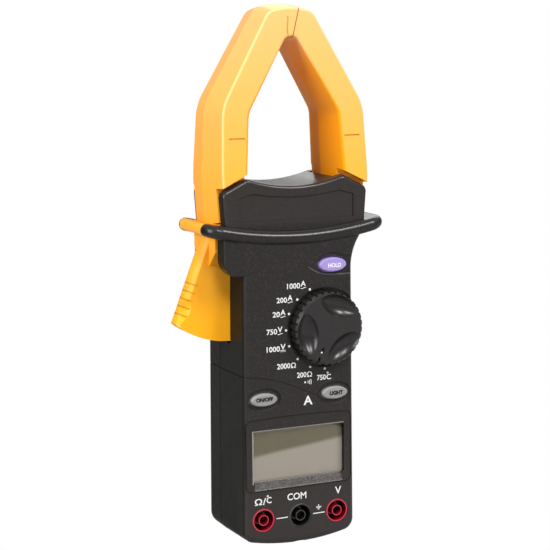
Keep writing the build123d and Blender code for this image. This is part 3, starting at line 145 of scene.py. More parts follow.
class Graph:
    """Nodes of one material or world."""

    def __init__(self, owner: Owner) -> None:
        """Empty the owner's node tree."""
        self.owner = owner
        owner.use_nodes = True
        self.tree = owner.node_tree
        self.tree.nodes.clear()

    @classmethod
    def material(cls, name: str) -> "Graph":
        """Graph of a new material."""
        return cls(bpy.data.materials.new(name))

    def node(
        self,
        kind: str,
        settings: Optional[dict[str, object]] = None,
        inputs: Optional[dict[Union[int, str], Value]] = None,
        out: Union[int, str] = 0,
    ) -> Sig:
        """Add any node.

        Args:
            kind: the node's type name.
            settings: its properties, set first; "stops" holds a colour ramp's (place, colour) pairs.
            inputs: a value or a link for each input, by name or number.
            out: the output to return.

        Returns:
            The chosen output.
        """
        made = self.tree.nodes.new(kind)
        for key, value in (settings or {}).items():
            if key == "stops":
                self._stops(made.color_ramp.elements, value)
            else:
                setattr(made, key, value)
        for key, value in (inputs or {}).items():
            if isinstance(value, Sig):
                self.tree.links.new(value.socket, made.inputs[key])
            else:
                made.inputs[key].default_value = value
        return Sig(self, made.outputs[out])

    @staticmethod
    def _stops(elements: bpy.types.ColorRampElements, stops: Sequence[tuple[float, Sequence[float]]]) -> None:
        """Set the stops of a colour ramp, which starts with two."""
        while len(elements) < len(stops):
            elements.new(0.5)
        for element, (place, colour) in zip(elements, stops):
            element.position = place
            element.color = colour

    def place(self) -> Sig:
        """Object coordinates."""
        return self.node("ShaderNodeTexCoord", out="Object")

    def facing(self) -> Sig:
        """Object-space direction of the surface."""
        return self.node("ShaderNodeTexCoord", out="Normal")

    def noise(self, scale: float, detail: float = 2.0, vector: Optional[Sig] = None) -> Sig:
        """Noise of about one feature per 1/scale metres, from 0 to 1."""
        inputs = {"Vector": vector or self.place(), "Scale": scale, "Detail": detail}
        return self.node("ShaderNodeTexNoise", None, inputs)

    def wave(self, axis: str, pitch: float, distortion: float = 0.0) -> Sig:
        """Ridges along one axis, a pitch in metres apart, from 0 to 1."""
        inputs = {"Vector": self.place(), "Scale": 1 / (pitch * WAVE_SPAN), "Distortion": distortion}
        return self.node("ShaderNodeTexWave", {"bands_direction": axis}, inputs, "Fac")

    def mix(self, factor: Value, first: Value, second: Value) -> Sig:
        """Blend of two colours."""
        made = self.node("ShaderNodeMix", {"data_type": "RGBA"}, {0: factor}, out=2)
        for index, value in ((6, first), (7, second)):
            if isinstance(value, Sig):
                self.tree.links.new(value.socket, made.socket.node.inputs[index])
            else:
                made.socket.node.inputs[index].default_value = (*value, 1.0)
        return made

    def bump(self, height: Sig, distance: float) -> Sig:
        """Bump normal of a height from 0 to 1 that stands for a distance in metres."""
        return self.node("ShaderNodeBump", None, {"Height": height, "Distance": distance, "Strength": 1.0})

    def finish(self, inputs: dict[Union[int, str], Value]) -> bpy.types.Material:
        """Close the material with a Principled shader.

        Args:
            inputs: the shader's inputs.

        Returns:
            The material.
        """
        return self.close(self.node("ShaderNodeBsdfPrincipled", None, inputs))

    def close(self, shader: Sig, kind: str = "ShaderNodeOutputMaterial") -> Owner:
        """Link a shader to an output node.

        Args:
            shader: what is shown.
            kind: the output node's type name.

        Returns:
            The material or world.
        """
        made = self.tree.nodes.new(kind)
        self.tree.links.new(shader.socket, made.inputs["Surface"])
        return self.owner


def shade(colour: Colour, factor: float) -> Colour:
    """A colour times a factor."""
    return (colour[0] * factor, colour[1] * factor, colour[2] * factor)


def beside(across: Sig, height: Sig, start: Sequence[float], end: Sequence[float]) -> Sig:
    """Signed distance from a line in the front view.

    Args:
        across: x of the surface.
        height: z of the surface.
        start: x and z of a point on the line.
        end: x and z of a later point.

    Returns:
        The distance in metres, positive to the right of the run from start to end.
    """
    run = (Vector(end) - Vector(start)).normalized()
    return (across - start[0]) * run[1] + (height - start[1]) * (-run[0])


# ------------------------------------------------------------------ finishes
@dataclass(frozen=True)
class MouldedPlastic:
    """Injection-moulded plastic: eroded grain, slow tone drift and uneven gloss."""

    name: str
    colour: Colour
    roughness: float = 0.45
    specular: float = 0.4
    grain_per_m: float = 2600.0
    grain_m: float = 0.00001
    drift: float = 0.12
    coat: float = 0.0
    coat_roughness: float = 0.15
    speck: float = 0.35
    speck_per_m: float = 2600.0
    speck_tone: float = 2.4
    drift_per_m: float = 35.0
    rub_per_m: float = 220.0
    rub: float = 0.14

    def tint(self, graph: Graph, place: Sig, tone: Sig) -> Sig:
        """Colour after the marks, painted light and painted shade of one moulding alone; plain mouldings keep
        their tone.
        """
        return tone

    def gloss(self, graph: Graph, place: Sig) -> Value:
        """Weight of the coat."""
        return self.coat

    def make(self) -> bpy.types.Material:
        """Build the material."""
        graph = Graph.material(self.name)
        place = graph.place()
        slow = graph.noise(self.drift_per_m, 3.0, place)
        fine = graph.noise(self.grain_per_m, 2.0, place)
        rub = graph.noise(self.rub_per_m, 4.0, place)
        tone = graph.mix(slow, shade(self.colour, 1 - self.drift), shade(self.colour, 1 + self.drift))
        dust = graph.noise(self.speck_per_m, 1.0, place).ramp(0.54, 0.7)
        speck = graph.mix(dust * self.speck, tone, shade(self.colour, self.speck_tone))
        inputs: dict[Union[int, str], Value] = {
            "Base Color": self.tint(graph, place, speck),
            "Roughness": rub * self.rub + (self.roughness - self.rub / 2),
            "Specular IOR Level": self.specular,
            "Normal": graph.bump(fine, self.grain_m),
        }
        if self.coat:
            inputs["Coat Weight"] = self.gloss(graph, place)
            inputs["Coat Roughness"] = self.coat_roughness
        return graph.finish(inputs)


@dataclass(frozen=True)
class CasePlastic(MouldedPlastic):
    """Black case plastic: a painted reflection paler low down, painted light on the collar, a grainy slope
    under the window, painted shade on the bare sides and painted highlights on the window's edges and the
    hold key pocket's lip.
    """

    # colour of the grit under the window, also used as the painted highlight on the lip of the hold key's
    # pocket
    sill_grit_and_lip_highlight: Colour = (0.12, 0.11, 0.104)
    # painted highlight along the window's left and upper edges
    edge: Colour = (0.34, 0.32, 0.28)
    # painted shade that darkens the case's sides
    flank_shade_tone: Colour = (0.003, 0.0037, 0.002)
    # painted reflection paler low down at the front and painted light paler on the collar
    painted_light_tone: float = 2.4
    reflection_z: tuple[float, float] = (-0.008, 0.07)
    reflection_y: tuple[float, float] = (-0.036, -0.03)
    collar_z: tuple[float, float] = (0.131, 0.134)
    sill_x: Span = Span(-0.0228, 0.0218, 0.0002)
    sill_y: Span = Span(-0.0408, -0.037, 0.0002)
    sill_z: Span = Span(0.0138, 0.0172, 0.0003)
    grit_per_m: float = 1900.0
    left_edge_x: Span = Span(-0.0234, -0.0229, 0.00012)
    left_edge_z: Span = Span(0.017, 0.0411, 0.0003)
    top_edge_x: Span = Span(-0.0232, 0.0218, 0.0003)
    top_edge_z: Span = Span(0.0408, 0.0412, 0.00012)
    edge_y: tuple[float, float] = (-0.0395, -0.039)
    pocket_x: float = 0.0163
    pocket_z: float = 0.1133
    pocket_radius: float = 0.0184
    pocket_half: float = 0.0042
    pocket_tip_x: tuple[float, float] = (0.0035, 0.0055)
    pocket_y: tuple[float, float] = (-0.0385, -0.038)
    lower_lip: float = 0.00045
    upper_lip: float = 0.000237
    lip_soft_m2: float = 0.000004
    blend: float = 0.0003

    def lip(self, place: Sig, centre_z: float, width: float) -> Sig:
        """1 along an edge of the hold key's pocket: an arc that runs on level to the right.

        Args:
            place: object coordinates.
            centre_z: height of the arc's centre.
            width: how far the edge reaches outwards.

        Returns:
            The mask, over the whole circle.
        """
        across, _, height = place.axes()
        inward = (across - self.pocket_x) * (1 - across.ramp(self.pocket_x - 0.1 * MM, self.pocket_x))
        rise = height - centre_z
        near, far = self.pocket_radius**2, (self.pocket_radius + width) ** 2
        return (inward * inward + rise * rise).within(near, far, self.lip_soft_m2)

    def pocket_lip_highlight(self, place: Sig) -> Sig:
        """1 where a highlight is painted on the lower edge of the hold key's pocket and less on the upper
        edge.
        """
        across, depth, height = place.axes()
        middle, reach = self.pocket_z, self.pocket_radius - self.pocket_half
        below = 1 - height.ramp(middle - self.blend, middle)
        above = height.ramp(middle, middle + self.blend)
        lower = self.lip(place, middle + reach, self.lower_lip) * below
        upper = self.lip(place, middle - reach, self.upper_lip) * above
        return (lower + upper * 0.35) * (1 - depth.ramp(*self.pocket_y)) * across.ramp(*self.pocket_tip_x)

    def flank(self, graph: Graph) -> Sig:
        """1 on the sides of the case and 0 on its front, back and roundings."""
        side = graph.facing().axes()[0]
        return (side * side).ramp(0.55, 0.9)

    def window_sill(self, place: Sig) -> Sig:
        """1 on the slope under the window."""
        across, depth, height = place.axes()
        return self.sill_x.mask(across) * self.sill_z.mask(height) * self.sill_y.mask(depth)

    def window_edge_highlight(self, place: Sig) -> Sig:
        """1 where a highlight is painted on the left edge of the window and less on its upper edge."""
        across, depth, height = place.axes()
        left = self.left_edge_x.mask(across) * self.left_edge_z.mask(height)
        top = self.top_edge_x.mask(across) * self.top_edge_z.mask(height)
        return (left + top * 0.7) * (1 - depth.ramp(*self.edge_y))

    def gloss(self, graph: Graph, place: Sig) -> Value:
        """Weight of the coat, which the textured sides and the slope under the window lack."""
        return (1 - self.flank(graph)) * (1 - self.window_sill(place)) * self.coat

    def tint(self, graph: Graph, place: Sig, tone: Sig) -> Sig:
        """Add the painted reflection low down, the painted light on the collar, the painted highlight on the
        pocket's lip, the painted shade on the sides, the grit under the window and the painted highlight on
        the window's edge.
        """
        _, depth, height = place.axes()
        # painted reflection of the table: paler low down towards the front
        pale = (1 - height.ramp(*self.reflection_z)) * (1 - depth.ramp(*self.reflection_y))
        # painted light: the collar paler
        collar = height.ramp(*self.collar_z)
        plain = graph.mix(pale * 0.6 + collar * 0.45, tone, shade(self.colour, self.painted_light_tone))
        # painted highlight on the lip of the hold key's pocket
        lip_highlighted = graph.mix(self.pocket_lip_highlight(place) * 0.75, plain, self.sill_grit_and_lip_highlight)
        # painted shade: the sides darker
        toned = graph.mix(self.flank(graph) * 0.75, lip_highlighted, self.flank_shade_tone)
        grit = graph.noise(self.grit_per_m, 2.0, place).ramp(0.35, 0.65)
        gritty = graph.mix(self.window_sill(place) * grit, toned, self.sill_grit_and_lip_highlight)
        # painted highlight on the window's left and upper edges
        return graph.mix(self.window_edge_highlight(place), gritty, self.edge)


@dataclass(frozen=True)
class JawPlastic(MouldedPlastic):
    """Yellow jaw plastic: painted light paler upwards, painted shade in deep orange round the opening, in the
    seam and in the grooves, and painted highlights on the ridges.
    """

    # painted light: the jaw grows paler from foot to tip
    foot_tone: Colour = (1.0, 0.42, 0.001)
    middle_tone: Colour = (1.0, 0.43, 0.04)
    tip_tone: Colour = (1.0, 0.51, 0.19)
    # painted shade: deep orange on the faces round the opening
    inner_shade_tone: Colour = (1.0, 0.35, 0.0005)
    # painted highlight along the rounded front edges of the arms
    ridge_highlight_tone: Colour = (1.0, 0.68, 0.33)
    # painted shade in the gap where the jaws meet
    seam_shade_tone: Colour = (0.2, 0.075, 0.008)
    # painted shade in the grooves of the grip ribs and of the marks
    groove_shade_tone: Colour = (0.45, 0.14, 0.005)
    foot_z: float = 0.085
    rise: float = 0.14
    seam_foot: tuple[float, float] = (-0.023, 0.128)
    seam_top: tuple[float, float] = (0.0, 0.2117)
    seam_wide: Span = Span(-0.00022, 0.00022, 0.00012)
    grip_top: tuple[float, float] = (-0.0407, 0.12)
    grip_tip: tuple[float, float] = (-0.0526, 0.089)
    grip_wide: Span = Span(-0.004, 0.004, 0.0003)
    grip_y: Span = Span(-0.0255, -0.0165, 0.0003)
    rib_pitch: float = 0.0036
    rib_count: int = 5
    rib_last: float = 0.0284
    arm_mark_x: tuple[float, float] = (0.0239, 0.0314)
    arm_mark_z: Span = Span(0.1700, 0.1706, 0.00012)
    tip_mark_x: Span = Span(-0.0021, -0.0015, 0.00012)
    tip_mark_z: Span = Span(0.2128, 0.2203, 0.0003)
    tip_mark_middle: float = 0.2165
    tip_mark_lean: float = 0.0875

    def tint(self, graph: Graph, place: Sig, tone: Sig) -> Sig:
        """Layer the painted light of the height gradient, the painted shade round the opening, the painted
        highlights on the ridges and the painted shade in the seam, ribs and marks.
        """
        across, depth, height = place.axes()
        side, front, _ = graph.facing().axes()
        tones = ((0.0, self.foot_tone), (0.45, self.middle_tone), (1.0, self.tip_tone))
        stops = [(level, (*colour, 1.0)) for level, colour in tones]
        level = (height - self.foot_z) * (1 / self.rise)
        # painted light: paler upwards along the jaw
        column = graph.node("ShaderNodeValToRGB", {"stops": stops}, {0: level})
        toned = graph.mix(0.85, tone, column)
        # painted shade on the inner faces round the opening
        inner = 1 - (across * side).ramp(-0.009, -0.001)
        deep = graph.mix(inner * 0.96, toned, self.inner_shade_tone)
        # painted highlight on the rounded front edges
        ridge = front.within(-0.9, -0.42, 0.1) * (1 - inner) * height.ramp(0.14, 0.15)
        ridged = graph.mix(ridge * 0.55, deep, self.ridge_highlight_tone)
        # painted shade in the gap where the jaws meet
        seam = self.seam_wide.mask(beside(across, height, self.seam_foot, self.seam_top))
        seamed = graph.mix(seam * height.ramp(0.18, 0.182) * 0.85, ridged, self.seam_shade_tone)
        # painted shade in the grooves of the ribs and marks
        groove_shade = self.ribs(across, depth, height) * 0.7 + self.marks(across, depth, height) * 0.32
        return graph.mix(groove_shade, seamed, self.groove_shade_tone)

    def marks(self, across: Sig, depth: Sig, height: Sig) -> Sig:
        """Mask of the level groove on each arm and of the upright one at the tip."""
        near, far = self.arm_mark_x
        arm = self.arm_mark_z.mask(height) * (across * across).within(near**2, far**2, 0.000002)
        lean = (height - self.tip_mark_middle) * self.tip_mark_lean
        tip = self.tip_mark_x.mask(across + lean) * self.tip_mark_z.mask(height)
        return (arm + tip) * (1 - depth.ramp(-0.032, -0.031))

    def ribs(self, across: Sig, depth: Sig, height: Sig) -> Sig:
        """Mask of the short grooves across the grip, which get painted shade."""
        run = (Vector(self.grip_tip) - Vector(self.grip_top)).normalized()
        along = (across - self.grip_top[0]) * run[0] + (height - self.grip_top[1]) * run[1]
        first = self.rib_last - self.rib_pitch * (self.rib_count - 1)
        line = 1 - (along - first).zigzag(self.rib_pitch).ramp(0.0003, 0.0006)
        row = along.within(first - self.rib_pitch / 2, self.rib_last + self.rib_pitch / 2, 0.0001)
        out = self.grip_wide.mask(beside(across, height, self.grip_top, self.grip_tip))
        return line * row * out * self.grip_y.mask(depth)


@dataclass(frozen=True)
class KnobPlastic(MouldedPlastic):
    """Black knob plastic with a dark pocket and slot where the pointer is."""

    hub: tuple[float, float] = (0.01234, 0.0854)
    angle: float = 247.5
    pocket_out: Span = Span(0.0089, 0.0117, 0.0001)
    pocket_off: Span = Span(-0.0009, 0.0009, 0.0001)
    slot_out: Span = Span(0.0134, 0.0162, 0.0001)
    slot_off: Span = Span(-0.0005, 0.0005, 0.0001)
    face_y: Span = Span(-0.06, -0.0415, 0.0001)
    shadow: Colour = (0.001, 0.001, 0.001)

    def tint(self, graph: Graph, place: Sig, tone: Sig) -> Sig:
        """Darken the pocket and the slot."""
        across, depth, height = place.axes()
        reach, lean = cos(radians(self.angle)), sin(radians(self.angle))
        out = (across - self.hub[0]) * reach + (height - self.hub[1]) * lean
        off = (across - self.hub[0]) * (-lean) + (height - self.hub[1]) * reach
        pocket = self.pocket_out.mask(out) * self.pocket_off.mask(off)
        slot = self.slot_out.mask(out) * self.slot_off.mask(off)
        return graph.mix((pocket + slot) * self.face_y.mask(depth), tone, self.shadow)


@dataclass(frozen=True)
class SocketPlastic(MouldedPlastic):
    """Glossy socket plastic with painted light where it faces forwards at the panel and painted shade down
    the well.
    """

    # painted light: the rim brighter than the socket
    rim: Colour = (0.55, 0.03, 0.065)
    # painted shade down the well
    deep: Colour = (0.12, 0.003, 0.01)

    def tint(self, graph: Graph, place: Sig, tone: Sig) -> Sig:
        """Blend the painted light of the rim, the wall and the painted shade of the well."""
        depth = place.axes()[1]
        forward = 1 - graph.facing().axes()[1].ramp(-0.9, -0.5)
        near = 1 - depth.ramp(-0.0412, -0.0402)
        # painted shade that darkens the socket down the well
        well = graph.mix(depth.ramp(-0.041, -0.0375), tone, self.deep)
        # painted light on the rim that faces forwards near the panel
        return graph.mix(forward * near, well, self.rim)


@dataclass(frozen=True)
class BlackSocket(SocketPlastic):
    """Socket plastic of the middle socket: a black ring with a thin pale edge round a paler tube."""

    inside: float = 0.0042
    outside: float = 0.0055
    ring_tone: Colour = (0.004, 0.004, 0.004)
    edge_tone: Colour = (0.16, 0.16, 0.155)

    def tint(self, graph: Graph, place: Sig, tone: Sig) -> Sig:
        """Darken the outer ring and make its edge pale, by the squared distance from the socket's axis."""
        across, depth, height = place.axes()
        span = across * across + height * height
        front = 1 - depth.ramp(-0.0408, -0.0402)
        ring = span.ramp((self.inside - 0.0002) ** 2, self.inside**2) * front
        dark = graph.mix(ring, super().tint(graph, place, tone), self.ring_tone)
        edge = span.ramp((self.outside - 0.00035) ** 2, (self.outside - 0.00015) ** 2) * front
        return graph.mix(edge, dark, self.edge_tone)


@dataclass(frozen=True)
class PlainMetal:
    """Metal with fine drawn lines along one axis."""

    name: str
    colour: Colour
    roughness: float = 0.28
    line_per_m: float = 9000.0

    def make(self) -> bpy.types.Material:
        """Build the material."""
        graph = Graph.material(self.name)
        drawn = graph.node("ShaderNodeMapping", None, {"Vector": graph.place(), "Scale": (1.0, 0.04, 1.0)})
        lines = graph.noise(self.line_per_m, 2.0, drawn)
        tarnish = graph.noise(400.0, 3.0)
        return graph.finish({
            "Base Color": graph.mix(tarnish, shade(self.colour, 0.8), self.colour),
            "Metallic": 1.0,
            "Roughness": lines * 0.2 + (self.roughness - 0.1),
            "Normal": graph.bump(lines, 0.000004),
        })


@dataclass(frozen=True)
class Ink:
    """Screen-printed ink, slightly uneven."""

    name: str
    colour: Colour

    def make(self) -> bpy.types.Material:
        """Build the material."""
        graph = Graph.material(self.name)
        grain = graph.noise(3500.0)
        return graph.finish({
            "Base Color": graph.mix(grain, shade(self.colour, 0.86), self.colour),
            "Roughness": grain * 0.2 + 0.45,
            "Normal": graph.bump(grain, 0.000006),
        })


@dataclass(frozen=True)
class ClearWindow:
    """Clear pane: mostly see-through, with a polished face and faint wipe marks."""

    name: str
    tint: Colour = (0.97, 0.98, 0.95)

    def make(self) -> bpy.types.Material:
        """Build the material."""
        graph = Graph.material(self.name)
        wipes = graph.noise(160.0, 5.0)
        gloss = graph.node("ShaderNodeBsdfGlossy", None, {
            "Color": (1.0, 1.0, 1.0, 1.0),
            "Roughness": wipes * 0.05 + 0.02,
        })
        clear = graph.node("ShaderNodeBsdfTransparent", None, {"Color": (*self.tint, 1.0)})
        edge = graph.node("ShaderNodeFresnel", None, {"IOR": 1.45})
        return graph.close(graph.node("ShaderNodeMixShader", None, {0: edge, 1: clear, 2: gloss}))


@dataclass(frozen=True)
class DisplayFilm:
    """Reflective display: a dull film with painted shade that darkens it towards the top, a painted shadow in
    one corner and painted light that makes it glow, with a fine pixel tooth.
    """

    name: str
    low_tone: Colour
    # painted shade: the darker tone of the film above the slanting line
    shaded_high_tone: Colour
    turn_z: float
    slope: float
    blur: float
    shadow: Colour = (0.03, 0.028, 0.02)
    shadow_z: tuple[float, float] = (0.0478, 0.0496)
    # painted light: the film glows though no lamp is behind it
    glow: float = 0.16

    def make(self) -> bpy.types.Material:
        """Build the material."""
        graph = Graph.material(self.name)
        place = graph.place()
        across, _, height = place.axes()
        wave = graph.noise(30.0, 1.0, place) * (self.blur * 0.8)
        # painted shade darkens the film above a slanting line
        level = height + across * (-self.slope) + wave
        factor = level.ramp(self.turn_z - self.blur, self.turn_z + self.blur)
        tooth = graph.noise(5200.0, 1.0, place)
        plain = graph.mix(factor, self.low_tone, self.shaded_high_tone)
        # painted shadow in the upper right corner
        corner = (across * 0.5 + height).ramp(*self.shadow_z) * 0.85
        tone = graph.mix(corner, plain, self.shadow)
        return graph.finish({
            "Base Color": graph.mix(tooth * 0.25, tone, shade(self.low_tone, 0.9)),
            # painted light: the film glows with its own tone
            "Emission Color": tone,
            "Emission Strength": self.glow,
            "Roughness": tooth * 0.1 + 0.35,
            "Specular IOR Level": 0.3,
        })


@dataclass(frozen=True)
class WoundWire:
    """Lacquered copper winding with one ridge per turn."""

    name: str
    colour: Colour
    turn_m: float = 0.0005

    def make(self) -> bpy.types.Material:
        """Build the material."""
        graph = Graph.material(self.name)
        turns = graph.wave("Z", self.turn_m, 0.4)
        return graph.finish({
            "Base Color": graph.mix(turns, shade(self.colour, 0.5), self.colour),
            "Roughness": turns * 0.1 + 0.25,
            "Normal": graph.bump(turns, 0.0001),
        })


@dataclass(frozen=True)
class PrintedBoard:
    """Green lacquered circuit board with copper tracks under the lacquer."""

    name: str
    colour: Colour
    track: Colour
    cell_per_m: float = 320.0

    def make(self) -> bpy.types.Material:
        """Build the material."""
        graph = Graph.material(self.name)
        cells = graph.node("ShaderNodeTexVoronoi", {"distance": "MANHATTAN", "feature": "F1"}, {
            "Vector": graph.place(),
            "Scale": self.cell_per_m,
        })
        tracks = cells.ramp(0.42, 0.46)
        return graph.finish({
            "Base Color": graph.mix(tracks, self.colour, self.track),
            "Roughness": tracks * 0.1 + 0.3,
            "Normal": graph.bump(tracks, 0.00003),
        })


@dataclass(frozen=True)
class Laminations:
    """Stack of thin lacquered steel sheets."""

    name: str
    colour: Colour
    sheet_m: float = 0.00035

    def make(self) -> bpy.types.Material:
        """Build the material."""
        graph = Graph.material(self.name)
        sheets = graph.wave("Y", self.sheet_m)
        return graph.finish({
            "Base Color": graph.mix(sheets, shade(self.colour, 0.6), self.colour),
            "Metallic": 0.8,
            "Roughness": sheets * 0.2 + 0.35,
            "Normal": graph.bump(sheets, 0.00005),
        })


class Tone(Enum):
    """Colours of the meter's own mouldings, as linear values."""

    CASE = (0.016, 0.0135, 0.0126)
    KNOB = (0.0165, 0.0145, 0.014)
    JAW = (1.0, 0.45, 0.06)
    KEY = (0.27, 0.262, 0.258)
    HOLD = (0.34, 0.27, 0.6)
    SOCKET = (0.3, 0.003, 0.014)
    BLACK_SOCKET = (0.012, 0.012, 0.012)
    WHITE = (0.83, 0.83, 0.8)
    STEEL = (0.62, 0.62, 0.63)
    BRASS = (0.82, 0.6, 0.28)


def finishes() -> dict[str, object]:
    """One finish for each material slot of the record."""
    smooth = {"grain_per_m": 2800.0, "grain_m": 0.000004}
    return {
        "black_plastic": CasePlastic(
            "case_black", Tone.CASE.value, specular=0.13, grain_per_m=2400.0, grain_m=0.00002, drift=0.1,
            coat=0.5, coat_roughness=0.21, speck=0.6, speck_per_m=1500.0
        ),
        "knob_plastic": KnobPlastic(
            "knob_black", Tone.KNOB.value, roughness=0.4, specular=0.2, grain_per_m=3000.0, grain_m=0.000008,
            drift=0.1, coat=0.65, coat_roughness=0.24
        ),
        "yellow_plastic": JawPlastic(
            "jaw_yellow", Tone.JAW.value, roughness=0.42, specular=0.12, grain_per_m=3200.0, grain_m=0.000004,
            drift=0.03, coat=0.12, coat_roughness=0.2, speck=0.0
        ),
        "grey_plastic": MouldedPlastic(
            "key_grey", Tone.KEY.value, roughness=0.4, specular=0.5, drift=0.05, speck=0.1, **smooth
        ),
        "lavender_plastic": MouldedPlastic(
            "key_lavender", Tone.HOLD.value, roughness=0.35, specular=0.5, drift=0.05, speck=0.05, **smooth
        ),
        "red_plastic": SocketPlastic(
            "socket_red", Tone.SOCKET.value, roughness=0.3, specular=0.6, drift=0.06, coat=0.3, speck=0.0,
            **smooth
        ),
        "white_plastic": MouldedPlastic(
            "inner_white", Tone.WHITE.value, grain_m=0.000004, drift=0.03, speck=0.0
        ),
        "clear_window": ClearWindow("window_clear"),
        # the display's second tone is the painted shade of its upper part
        "lcd_grey": DisplayFilm(
            "display_film", (0.72, 0.62, 0.57), (0.25, 0.205, 0.12), turn_z=0.0315, slope=0.12, blur=0.0012
        ),
        "core_steel": Laminations("core_sheets", (0.3, 0.29, 0.28)),
        "copper_wire": WoundWire("winding_copper", (0.5, 0.2, 0.07)),
        "bright_steel": PlainMetal("steel_plated", Tone.STEEL.value),
        "brass": PlainMetal("contact_brass", Tone.BRASS.value, roughness=0.25),
        "soft_rubber": MouldedPlastic(
            "strip_rubber", (0.15, 0.15, 0.16), roughness=0.7, specular=0.2, grain_per_m=2000.0, drift=0.1
        ),
        "board_green": PrintedBoard("board_lacquer", (0.02, 0.13, 0.05), (0.05, 0.26, 0.09)),
        "battery_case": MouldedPlastic(
            "battery_jacket", (0.06, 0.06, 0.07), roughness=0.3, specular=0.5, grain_per_m=1500.0,
            grain_m=0.000003, drift=0.1, coat=0.3
        ),
    }


def node_finishes() -> dict[str, object]:
    """Finishes of single nodes that differ from their slot's."""
    return {
        # the middle socket's rim tone is painted light and its deep tone painted shade
        "com_sleeve": BlackSocket(
            "socket_black", Tone.BLACK_SOCKET.value, roughness=0.3, specular=0.6, grain_per_m=2800.0,
            grain_m=0.000004, drift=0.06, coat=0.3, speck=0.0, rim=(0.04, 0.04, 0.04),
            deep=(0.003, 0.003, 0.003)
        ),
    }


# ------------------------------------------------------------------ mesh helpers
def keep_mesh(name: str, vertices: np.ndarray, faces: Sequence[Sequence[int]]) -> bpy.types.Object:
    """Put arrays into a new mesh object at the origin.

    Args:
        name: the object's name.
        vertices: an N by 3 array in metres.
        faces: vertex numbers of each face.

    Returns:
        The object, linked to the scene.
    """
    mesh = bpy.data.meshes.new(name)
    mesh.from_pydata(vertices.tolist(), [], [list(face) for face in faces])
    mesh.update()
    made = bpy.data.objects.new(name, mesh)
    bpy.context.scene.collection.objects.link(made)
    mesh.polygons.foreach_set("use_smooth", np.zeros(len(mesh.polygons), dtype=bool))
    return made


def prism(outline: np.ndarray, face: float = PANEL_Y - INK_THICK) -> Plate:
    """Thin plate from an outline of (x, z) points, counter-clockwise from the front.

    Args:
        outline: an N by 2 array in metres.
        face: y of its front; the plain value lays it on the front panel.

    Returns:
        Vertices and faces of a closed plate that is INK_THICK thick.
    """
    count = len(outline)
    near = np.column_stack([outline[:, 0], np.full(count, face), outline[:, 1]])
    far = near + np.array([0.0, INK_THICK, 0.0])
    ring = np.arange(count)
    following = np.roll(ring, -1)
    faces = [list(ring), list(ring[::-1] + count)]
    faces += [[int(a), int(a + count), int(b + count), int(b)] for a, b in zip(ring, following)]
    return np.vstack([near, far]), faces


def joined(plates: Iterable[Plate]) -> Plate:
    """Several vertex and face lists as one."""
    vertices: list[np.ndarray] = []
    faces: list[list[int]] = []
    start = 0
    for points, sides in plates:
        vertices.append(points)
        faces += [[index + start for index in side] for side in sides]
        start += len(points)
    return np.vstack(vertices), faces


def disc_outline(x: float, z: float, radius: float, count: int = 24) -> np.ndarray:
    """Circle: x + r cos t, z + r sin t for t round a full turn."""
    turn = np.linspace(0, 2 * pi, count, endpoint=False)
    return np.column_stack([x + radius * np.cos(turn), z + radius * np.sin(turn)])


def bar_outline(left: float, low: float, right: float, high: float) -> np.ndarray:
    """Rectangle between two corners."""
    return np.array([(left, low), (right, low), (right, high), (left, high)])


def band_outline(path: np.ndarray, width: float) -> np.ndarray:
    """Line of a given width: the path moved half a width to each side along its normals."""
    along = np.gradient(path, axis=0)
    along /= np.linalg.norm(along, axis=1)[:, None]
    normal = np.column_stack([-along[:, 1], along[:, 0]]) * width / 2
    return np.vstack([path - normal, (path + normal)[::-1]])


# ------------------------------------------------------------------ printing
class Mark(Enum):
    """Small sign printed under or over a unit letter."""

    NONE = "none"
    WAVE = "wave"
    STEADY = "steady"
    RING = "ring"


@dataclass(frozen=True)
class Stop:
    """One position of the selector: ends of its figures and unit and their lower edge, in millimetres."""

    figures: str
    unit: str
    mark: Mark
    left: float
    split: float
    right: float
    low: float


